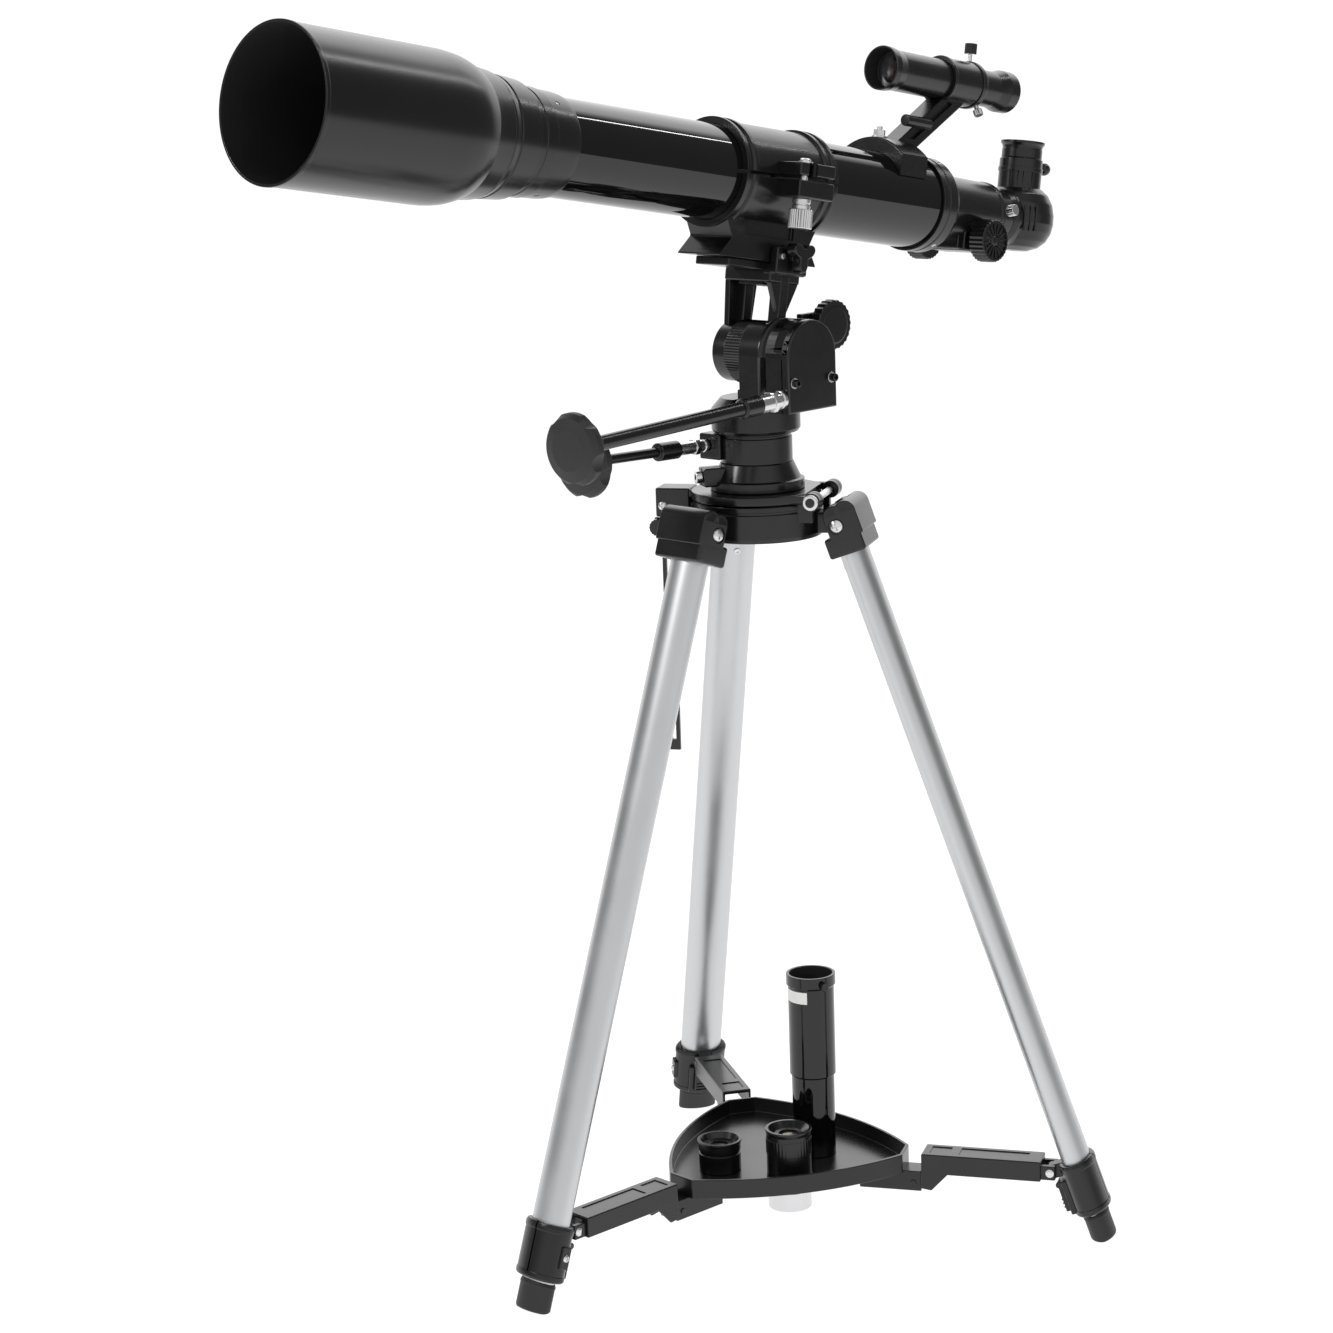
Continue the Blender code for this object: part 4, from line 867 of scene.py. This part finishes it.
def make_yoke():
    tube = ALTITUDE_TO_TUBE
    yoke = fuse(
        block((-24, -4.5, 0), (-12, 4.5, 55), 1.0),
        plus(
            cyl(21.7, -24.1, -11.9, "X", (0, 0), 96, 1.0),
            block((-23.6, -16, 49.5), (20.6, 16, 58.7), 1.6),
            block((10.9, -4.5, 0), (20.9, 4.5, 55), 1.0),
            cyl(21.7, 10.8, 21, "X", (0, 0), 96, 1.0),
            prism([(-12, 15), (12, 15), (15, 50), (-15, 50)], -23.4, -18.6, 1.0, 1.0, at=SIDE_ON),
            prism([(-4.5, 28), (4.5, 28), (15, 50), (-15, 50)], 15.8, 20.3, 1.0, 1.0, at=SIDE_ON),
            block((-16, -31, -63.6), (16, 42, -57.8), 0.9, tube),
            block((14, 8, -66), (26, 39, -58.2), 0.9, tube),
            block((20.4, 7, -65.5), (27, 40, -46.5), 1.2, tube)),
        minus(
            cyl(6.3, -30, 30, "X", (0, 0), 48, 0),
            cyl(3.0, 10, 40, "X", SADDLE_KNOB_AT, 40, 0, tube)))
    piece("yoke", yoke, ALTITUDE)
    ribs = gather(*[block((-11.7, y, 50.4 - 3), (10.7, y + 1.4, 50.4), 0.3)
                    for y in (-13, -9, -5, -1, 3, 7, 11)])
    extra("yoke_ribs", ribs, ALTITUDE, "yoke", "black_casting")
    star = []
    for number in range(72):
        angle = math.radians(5 * number)
        reach = 8.6 + 3.7 * math.cos(3 * angle)
        star.append((reach * math.cos(angle), reach * math.sin(angle)))
    knob = fuse(prism(star, 29, 38, 1.6, at=move(0, *SADDLE_KNOB_AT) @ AXIS_TURN["X"]),
                plus(cyl(6, 27.4, 31, "X", SADDLE_KNOB_AT, 64, 0.4),
                     cyl(2.7, 20.6, 30, "X", SADDLE_KNOB_AT, 40, 0.2)))
    piece("saddle_knob", knob, TUBE)
    pin = cyl(2.2, 17, 28.6, "X", (12, -53), 40, 0.4)
    extra("saddle_pin", pin, TUBE, "yoke")


# Cradle ---------------------------------------------------------------------------------

LID_HINGE = (-42.4, 0.8)
LID_NUT_AT = (48.5, 3)
TUBE_BORE = 33.6


def cradle_band():
    return lathe([(0, 44), (38.5, 44), (38.5, 41.2), (36.9, 40.2), (36.9, 36.6), (38.5, 35.6),
                  (38.5, 32), (36.6, 31), (36.6, -40), (38.5, -41), (38.5, -44.4),
                  (36.9, -45.4), (36.9, -48), (38.5, -49), (38.5, -52), (0, -52)], 160, 0.4,
                 FORWARD)


def knuckle(start, end, radius=4.0):
    return cyl(radius, start, end, "Y", LID_HINGE, 48, 0.3)


def make_cradle():
    bore = cyl(TUBE_BORE, -70, 70, "Y", (0, 0), 160, 0)
    waist = [
        (-41.3, -31), (-34.6, -43), (-34.6, -44.5), (-45.5, -56.5), (-45.5, -57.5), (56.3, -57.5),
        (56.3, -56.5), (48, -44.5), (48, -43), (54, -31), (44, -20), (-30, -20)]
    lower = fuse(
        cradle_band(), minus(block((-60, -60, -0.6), (60, 70, 60), 0)),
        plus(
            prism(waist, -20, 20, 0.9, 0.8, at=SIDE_ON),
            block((30, -10, -13), (57, 27, -0.8), 1.2)),
        minus(knuckle(-60, -15.7, 4.6), knuckle(22.7, 60, 4.6)),
        plus(knuckle(-15.4, 22.4), block((-42.4, -15.2, -3.2), (-30, 22.2, -1.0), 0.3)),
        minus(
            cyl(3.6, -30, 10, "Z", LID_NUT_AT, 40, 0), bore.copy(),
            block((-21, -22, -41), (-17.6, 30, -27), 0.6),
            block((17.6, -22, -41), (21, 30, -27), 0.6)))
    piece("cradle_lower", lower, TUBE, inside=matt_within(34.2))
    upper = fuse(
        cradle_band(), minus(block((-60, -60, -60), (60, 70, 2.2), 0), knuckle(-15.7, 22.7, 4.6)),
        plus(
            block((30, -10, 2.4), (57, 27, 11.5), 1.2), knuckle(-43.5, -15.9), knuckle(22.9, 51),
            block((-42.4, -43.3, 2.4), (-30, -16.1, 4.4), 0.3),
            block((-42.4, 23.1, 2.4), (-30, 50.8, 4.4), 0.3)),
        minus(bore, block((43.5, -1.5, -5), (70, 7.5, 30), 0)))
    piece("cradle_lid", upper, TUBE, inside=matt_within(34.2))
    grip = knurled(8.7, -34, -20.5, 32, 0.45, soften=0.9)
    nut = fuse(lathe([(0, 15), (2.6, 14.8), (4.1, 13.8), (4.1, 11.9), (2.8, 11.8), (2.8, -13.4),
                      (6.5, -13.4), (6.5, -16.2), (5.9, -16.6), (5.9, -17.6), (6.5, -18),
                      (6.5, -21), (7.9, -21), (7.9, -33), (0, -33)], 96, 0.3),
               plus(grip))
    piece("cradle_nut", nut, TUBE @ move(*LID_NUT_AT, 0))
    washer = lathe([(5.6, 12.6), (5.6, 11.7), (3.8, 11.7), (3.8, 12.6)], 64, 0.15)
    extra("lid_washer", washer, TUBE @ move(*LID_NUT_AT, 0), "cradle_nut")
    pins = cyl(1.7, -44.4, 52, "Y", LID_HINGE, 32, 0.3)
    extra("cradle_hinge_pin", pins, TUBE, "cradle_lower", "black_casting", DARK_STEEL)


def matt_within(radius, height=0.0, start=-math.inf, end=math.inf):
    """Matt black within a radius of a line along Y at a height, between two stations."""
    return MATT_BLACK, lambda c, n: (math.hypot(c.x, c.z - height) < radius and start < c.y < end)


# Optical tube ---------------------------------------------------------------------------

def make_tube():
    body = lathe([(33.3, 225), (33.3, -186), (31.8, -186), (31.8, 225)], 192, 0.3, FORWARD)
    piece("main_tube", body, TUBE, inside=matt_within(32.4))
    cell = lathe(
        [
            (37.6, 284), (37.6, 269.7), (41.8, 269.7), (41.8, 268.2), (41.0, 264.6), (40.3, 264.2),
            (40.2, 262.4), (40.8, 262.0), (39.6, 244), (36.8, 241.6), (36.8, 237.4), (36.2, 237),
            (36.2, 235.8), (36.7, 235.4), (36.6, 226), (35.9, 225.4), (35.5, 209), (34.9, 204),
            (33.6, 204), (33.6, 226), (30.5, 226), (30.5, 246), (33.3, 246), (33.3, 284)],
        192, 0.35, FORWARD)
    spots = [cyl(1.7, -38, -34.6, "X", (-218, 0), 32, 0, turn(12 + 120 * n, "Y"))
             for n in range(3)]
    cell = fuse(cell, minus(gather(*spots)))
    piece("lens_cell", cell, TUBE, SATIN_BLACK, inside=matt_within(33.5, end=-226))
    for number in range(3):
        at = turn(12 + 120 * number, "Y") @ facing("-X", -35.0, -218, 0)
        extra(f"cell_screw_{number}", cross_screw(1.5, 0.5, at), TUBE, "lens_cell")
    lens = lathe([(0, 258), (8, 257.75), (16, 257), (25, 255.4), (33, 253.5), (33, 248.5),
                  (30.2, 246.4), (16, 245.6), (0, 245.2)], 128, 0.1, FORWARD)
    piece("objective", lens, TUBE)
    retainer = lathe(
        [(33.2, 259.5), (33.2, 257.6), (30.8, 257.6), (31.4, 259.5)], 128, 0.2, FORWARD)
    extra("lens_retainer", retainer, TUBE, "lens_cell", "black_plastic", MATT_BLACK)
    shield = lathe(
        [
            (51.2, 437), (51.2, 434.4), (50.6, 433.6), (50.0, 318), (49.9, 311), (49.3, 304),
            (48.6, 299), (47.6, 295), (46.2, 290.5), (44.4, 286), (43.4, 280), (42.3, 270),
            (38.0, 270), (38.0, 286), (41, 289), (45, 298), (47, 306), (48.2, 400), (49.4, 437)],
        224, 0.5, FORWARD)
    piece("dew_shield", shield, TUBE, SATIN_BLACK,
          inside=(MATT_BLACK, lambda c, n: facing_axis(c, n) and c.y < -268))


def facing_axis(centre, normal):
    """True on a tube's inner wall, whose faces look towards the tube's own axis."""
    return normal.x * centre.x + normal.z * centre.z < -0.2 * math.hypot(centre.x, centre.z)


def make_focuser():
    along = 239.0
    drop = -21.6
    body = lathe([(0, -178), (35.4, -178), (35.4, -183.5), (34.8, -184.1), (34.8, -185.3),
                  (35.4, -185.9), (35.4, -194), (33.5, -198), (27, -203.5), (25, -206),
                  (24.6, -226), (24, -262), (24.6, -263), (24.6, -266), (0, -266)], 160, 0.5,
                 FORWARD)
    body = fuse(
        body,
        plus(
            block((-19, 226, drop - 9), (19, 252, -12), 2.2),
            block((-15.5, 222.5, drop - 8), (15.5, 255.5, -14), 1.5)),
        minus(
            cyl(18.9, 184, 280, "Y", (0, 0), 128, 0),
            cyl(TUBE_BORE, 170, 186.3, "Y", (0, 0), 160, 0),
            cyl(2.9, -30, 30, "X", (along, drop), 40, 0)))
    piece("focuser_body", body, TUBE, inside=matt_within(19.5))
    for number, angle in enumerate((-62, 58, 178)):
        at = turn(angle, "Y") @ facing("+X", 35.2, 190, 0)
        extra(f"rear_ring_screw_{number}", cross_screw(1.7, 0.6, at), TUBE, "focuser_body")
    draw = lathe(
        [(18.6, -150), (18.6, -271.4), (20, -272.5), (20, -283), (16.0, -283), (16.0, -150)], 128,
        0.35, FORWARD)
    piece("draw_tube", draw, TUBE, inside=matt_within(16.4))
    wheels = []
    for span, hub_span in zip(mirrored(24.9, 38.4), mirrored(19.4, 26)):
        wheels.append(knurled(16, *span, 30, 0.7, "X", (along, drop), soften=0.9))
        wheels.append(cyl(5, *hub_span, "X", (along, drop), 48, 0.3))
    knobs = fuse(cyl(2.5, -24, 24, "X", (along, drop), 40, 0.2), plus(*wheels))
    dishes = []
    faces = []
    for side in (-1, 1):
        at = move(0, along, drop) @ turn(90 * side, "Y")
        dishes.append(lathe([(0, 40), (13.2, 40), (13.2, 37.4), (0, 37.4)], 96, 0, at))
        ribs = around(16, lambda m: block((4.6, -0.7, 37.0), (12.6, 0.7, 38.3), 0.2, m),
                      11 if side > 0 else 0)
        ribs.transform(at)
        centre = lathe([(0, 38.8), (3.2, 38.4), (4.2, 37.2), (4.2, 36.6), (0, 36.6)], 64, 0.2, at)
        faces += [ribs, centre]
    knobs = fuse(knobs, minus(*dishes), plus(*faces))
    piece("focus_knobs", knobs, TUBE)


def make_diagonal():
    centre = 312.0
    nose = lathe([(0, -262), (15.7, -262), (15.7, -283.3), (20, -283.3), (21.5, -288),
                  (21.5, -300), (0, -300)], 128, 0.4, FORWARD)
    dome = lathe([(0, 27), (10, 26.6), (17, 24.5), (22.5, 20), (26.5, 13), (28.3, 5),
                  (28.5, -2), (27.2, -9), (23.8, -15.5), (18, -20.5), (10, -23.5), (0, -24.2)],
                 160, 5, move(0, centre, 0))
    ribs = []
    for number in range(5):
        at = move(0, centre, 0) @ turn(-58 + 9 * number)
        ribs.append(block((27.6, -0.6, -9), (29.2, 0.6, 10), 0.25, at))
    diagonal = fuse(
        nose,
        plus(
            dome, cyl(16.6, 20, 46.8, "Z", (0, 311), 128, 0.6),
            lathe([(17.2, 40), (17.2, 36.6), (15, 36.6), (15, 40)], 128, 0.3, move(0, 311, 0)),
            *ribs),
        minus(cyl(14.4, 24, 60, "Z", (0, 311), 96, 0), cyl(2.0, 320, 340, "Y", (0, 42), 32, 0)))
    piece("diagonal", diagonal, TUBE,
          inside=(MATT_BLACK, lambda c, n: math.hypot(c.x, c.y - 311) < 14.6 and c.z > 20))
    grub = fuse(knurled(4.4, 4, 11, 18, 0.35), plus(cyl(1.8, -3, 5, "Z", (0, 0), 32, 0.2)))
    extra("diagonal_screw", grub, TUBE @ move(0, 274, 0) @ turn(80, "Y") @ move(0, 0, 17),
          "draw_tube")
    cup = lathe([(0, 56.6), (9, 56.8), (11.6, 57.4), (14.8, 60.3), (17, 60.3), (17, 58.6),
                 (15.6, 56.6), (15.3, 55), (15.6, 53.6), (15.6, 47.4), (14.1, 47.4), (14.1, 26),
                 (0, 26)], 128, 0.35)
    cup = fuse(cup, minus(cyl(6.8, 54.4, 70, "Z", (0, 0), 64, 0.2)))
    place = TUBE @ move(0, 311, 0)
    piece("eyepiece", cup, place)
    lens = lathe([(0, 55.6), (3.5, 55.4), (6.75, 54.6), (6.75, 54.2), (0, 54.2)], 64, 0.05)
    extra("eyepiece_lens", lens, place, "eyepiece", "coated_glass")
    ball = lathe(
        [(0, 10.4), (2.4, 10.0), (4.3, 8.2), (5.0, 5.6), (4.3, 3.0), (2.6, 1.4), (2.6, 0), (0, 0)],
        64, 0.8, move(0, 335.3, 42) @ AXIS_TURN["Y"])
    screw = fuse(ball, plus(cyl(1.7, 325.8, 336, "Y", (0, 42), 32, 0.2)))
    piece("eyepiece_screw", screw, TUBE)


def make_finder():
    height = 94.3
    up = move(0, 0, height) @ FORWARD
    scope = lathe([(16.3, -133), (16.3, -138.6), (15.9, -140.6), (14.9, -147), (14.9, -236),
                   (14.6, -239), (13.6, -245), (13.6, -262), (14.4, -267), (15.8, -272),
                   (15.8, -282), (12, -282), (8, -273), (0, -273), (0, -147.5), (6, -146.9),
                   (13.4, -145.6), (13.7, -143), (15.1, -133)], 128, 0.4, up)
    piece("finder_scope", scope, TUBE,
          inside=(MATT_BLACK, lambda c, n: math.hypot(c.x, c.z - height) < 14.6
                  and (c.y < 145 or c.y > 274)))
    lens = lathe([(0, -145.2), (7, -145.7), (13.2, -147.1), (13.2, -148), (0, -148)], 96, 0.05, up)
    extra("finder_lens", lens, TUBE, "finder_scope", "coated_glass")
    eye = lathe([(0, -274.4), (8.4, -274.4), (8.4, -272.6), (0, -272.6)], 64, 0.1, up)
    extra("finder_eye_lens", eye, TUBE, "finder_scope", "coated_glass")
    stalk = [(147, 40), (170, 38), (226, 80), (201, 82)]
    web = [(158, 46), (169, 46), (211, 77.5), (204.5, 78)]
    shoe = fuse(
        cyl(44, 130, 160, "Y", (0, 0), 160, 1.2),
        minus(
            block((-60, 100, -60), (60, 200, 16.5), 0), block((-60, 100, 0), (-30, 200, 60), 0),
            block((30, 100, 0), (60, 200, 60), 0), cyl(TUBE_BORE, 100, 200, "Y", (0, 0), 160, 0)),
        plus(
            prism(stalk, -8, 8, 1.0, 2.0, at=SIDE_ON),
            cyl(17.0, 200.5, 240.5, "Y", (0, height), 128, 0.8),
            cyl(17.9, 200, 203, "Y", (0, height), 128, 0.6),
            cyl(17.9, 234, 238, "Y", (0, height), 128, 0.6),
            cyl(4.3, 153, 181, "Y", (10.5, 58.7), 48, 0.8)),
        minus(
            cyl(15.1, 190, 260, "Y", (0, height), 128, 0),
            prism(web, 5.6, 12, 0.3, 1.2, at=SIDE_ON), prism(web, -12, -5.6, 0.3, 1.2, at=SIDE_ON),
            cyl(1.9, height, 130, "Z", (0, 236), 32, 0)))
    piece("finder_bracket", shoe, TUBE,
          inside=(MATT_BLACK, lambda c, n: math.hypot(c.x, c.z - height) < 15.4 and c.z > 76))
    nut = gather(
        lathe([(0, 8.6), (2.0, 8.4), (2.0, 5.4), (0, 5.4)], 40, 0.2),
        lathe([(0, 6), (4.6, 6), (4.6, 1.4), (0, 1.4)], 6, 0.3),
        lathe([(0, 1.5), (6, 1.5), (6, 0.2), (0, 0.2)], 64, 0.3))
    extra("finder_shoe_nut", nut, TUBE @ move(0, 138, 43.6), "finder_bracket")
    shank = cyl(1.9, -1, 5.4, "Z", (0, 0), 32, 0.2)
    grips = knurled(3.6, 5.2, 10, 16, 0.35)
    for name, angle in (("near", 150), ("far", -122)):
        at = TUBE @ move(0, 237, height) @ turn(angle, "Y") @ move(0, 0, 16)
        extra("finder_side_screw_" + name, shank.copy(), at, "finder_bracket")
        extra("finder_side_grip_" + name, grips.copy(), at, "finder_bracket")
    bpy.data.meshes.remove(shank)
    bpy.data.meshes.remove(grips)
    screw = fuse(knurled(4.6, 117.5, 125.5, 18, 0.4, centre=(0, 236)),
                 plus(cyl(1.6, 109.5, 119, "Z", (0, 236), 32, 0.1)))
    piece(
        "finder_screw", screw, TUBE, inside=(MATERIALS["black_plastic"], lambda c, n: c.z > 117.6))


# Studio ---------------------------------------------------------------------------------

BACKDROP = 1.05
BACK_LIGHT_LOW = 0.9
BACK_LIGHT_HIGH = 2.5
FRONT_LIGHT = 0.6
DIM_LIGHT = 0.2
BACK_HEADING = (-0.694, 0.720, 0)
FRONT_HEADING = (0.694, -0.720, 0)
FLOOR_RADIUS = 3.2
FLOOR_GLOW = 0.95
FLOOR_TONES = ((0.22, 0.22, 0.22, 1), (0.26, 0.26, 0.26, 1))
CAMERA_AT = (1.5634, -1.6855, 0.9246)
CAMERA_RIGHT = (0.7250, 0.6879, -0.0334)
CAMERA_UP = (-0.1210, 0.1749, 0.9771)
FOCAL_LENGTH = 88.487
SENSOR_WIDTH = 36.0


def area_light(name, at, towards, size, power):
    light = bpy.data.lights.new(name, "AREA")
    light.shape = "RECTANGLE"
    light.size, light.size_y = size
    light.energy = power
    lamp = bpy.data.objects.new(name, light)
    link(lamp)
    lamp.location = at
    lamp.rotation_euler = (Vector(towards) - Vector(at)).to_track_quat("-Z", "Y").to_euler()
    lamp.visible_camera = False
    return lamp


def make_floor():
    build = bmesh.new()
    bmesh.ops.create_circle(build, cap_ends=True, segments=96, radius=FLOOR_RADIUS)
    mesh = mesh_from(build)
    floor = bpy.data.objects.new("floor", mesh)
    link(floor)
    material = bpy.data.materials.new("pale_floor")
    material.use_nodes = True
    tree = material.node_tree
    shader = tree.nodes["Principled BSDF"]
    shader.inputs["Roughness"].default_value = 0.9
    shader.inputs["Specular IOR Level"].default_value = 0.1
    where = add_node(tree, "TexCoord").outputs["Object"]
    drift = noise(tree, where, 1.5).outputs["Fac"]
    tone = add_node(
        tree, "MixRGB", [("Fac", drift), ("Color1", FLOOR_TONES[0]), ("Color2", FLOOR_TONES[1])])
    tree.links.new(tone.outputs["Color"], shader.inputs["Base Color"])
    shader.inputs["Emission Color"].default_value = (1, 1, 1, 1)
    shader.inputs["Emission Strength"].default_value = FLOOR_GLOW
    mesh.materials.append(material)


def towards(tree, direction, heading, low, high, start, end):
    """A level that rises from low to high as a direction turns to a heading."""
    facing_it = add_node(
        tree, "VectorMath", [(0, direction), (1, heading)], operation="DOT_PRODUCT")
    return spread(tree, facing_it.outputs["Value"], low, high, start, end)


def combine(tree, operation, first, second):
    return add_node(tree, "Math", [(0, first), (1, second)], operation=operation).outputs["Value"]


def make_world():
    """White behind the object, a broad soft light at its far side and a weaker near one."""
    world = bpy.data.worlds.new("studio")
    bpy.context.scene.world = world
    world.use_nodes = True
    tree = world.node_tree
    tree.nodes.clear()
    direction = add_node(tree, "TexCoord").outputs["Generated"]
    behind = towards(tree, direction, BACK_HEADING, 0.0, 1.0, 0.52, 0.66)
    height = towards(tree, direction, (0, 0, 1), BACK_LIGHT_LOW, BACK_LIGHT_HIGH, 0.05, 0.75)
    near = towards(tree, direction, FRONT_HEADING, 0.0, FRONT_LIGHT, 0.15, 0.6)
    strength = combine(
        tree, "ADD", combine(tree, "MULTIPLY", behind, height),
        combine(tree, "ADD", near, DIM_LIGHT))
    seen = add_node(tree, "Background", [("Color", (1, 1, 1, 1)), ("Strength", BACKDROP)])
    lit = add_node(tree, "Background", [("Color", (1, 1, 1, 1)), ("Strength", strength)])
    path = add_node(tree, "LightPath")
    mix = add_node(tree, "MixShader")
    tree.links.new(path.outputs["Is Camera Ray"], mix.inputs[0])
    tree.links.new(lit.outputs[0], mix.inputs[1])
    tree.links.new(seen.outputs[0], mix.inputs[2])
    out = add_node(tree, "OutputWorld")
    tree.links.new(mix.outputs[0], out.inputs[0])


def make_camera():
    camera = bpy.data.cameras.new("camera")
    camera.sensor_width = SENSOR_WIDTH
    camera.lens = FOCAL_LENGTH
    lens = bpy.data.objects.new("camera", camera)
    link(lens)
    right = Vector(CAMERA_RIGHT)
    up = Vector(CAMERA_UP)
    back = right.cross(up).normalized()
    up = back.cross(right.normalized())
    turned = Matrix((right.normalized(), up, back)).transposed().to_4x4()
    lens.matrix_world = Matrix.Translation(CAMERA_AT) @ turned
    camera.clip_end = 100
    bpy.context.scene.camera = lens


def make_studio():
    make_floor()
    make_world()
    make_camera()
    area_light("strip", (0.46, 1.6, 2.35), (0.0, 1.6, 0.85), (2.0, 0.05), 8)
    area_light("front_left", (-1.6, -2.6, 2.2), (0, 0, 0.6), (0.5, 0.5), 20)
    bpy.context.scene.view_settings.view_transform = "Standard"


make_hub()
for leg_side in SIDES:
    make_leg(leg_side)
make_tray()
make_accessories()
make_wedge()
make_azimuth_stack()
make_control("azimuth", AZIMUTH_WORM, (4.7, -20), (6.5, 30, 51), 3.6, 131)
make_control("altitude", ALTITUDE_WORM, (6.6, -24), (7.2, 25, 43), 5.2, 214)
make_gear_housing()
make_altitude_pieces()
make_yoke()
make_cradle()
make_tube()
make_focuser()
make_diagonal()
make_finder()
make_studio()
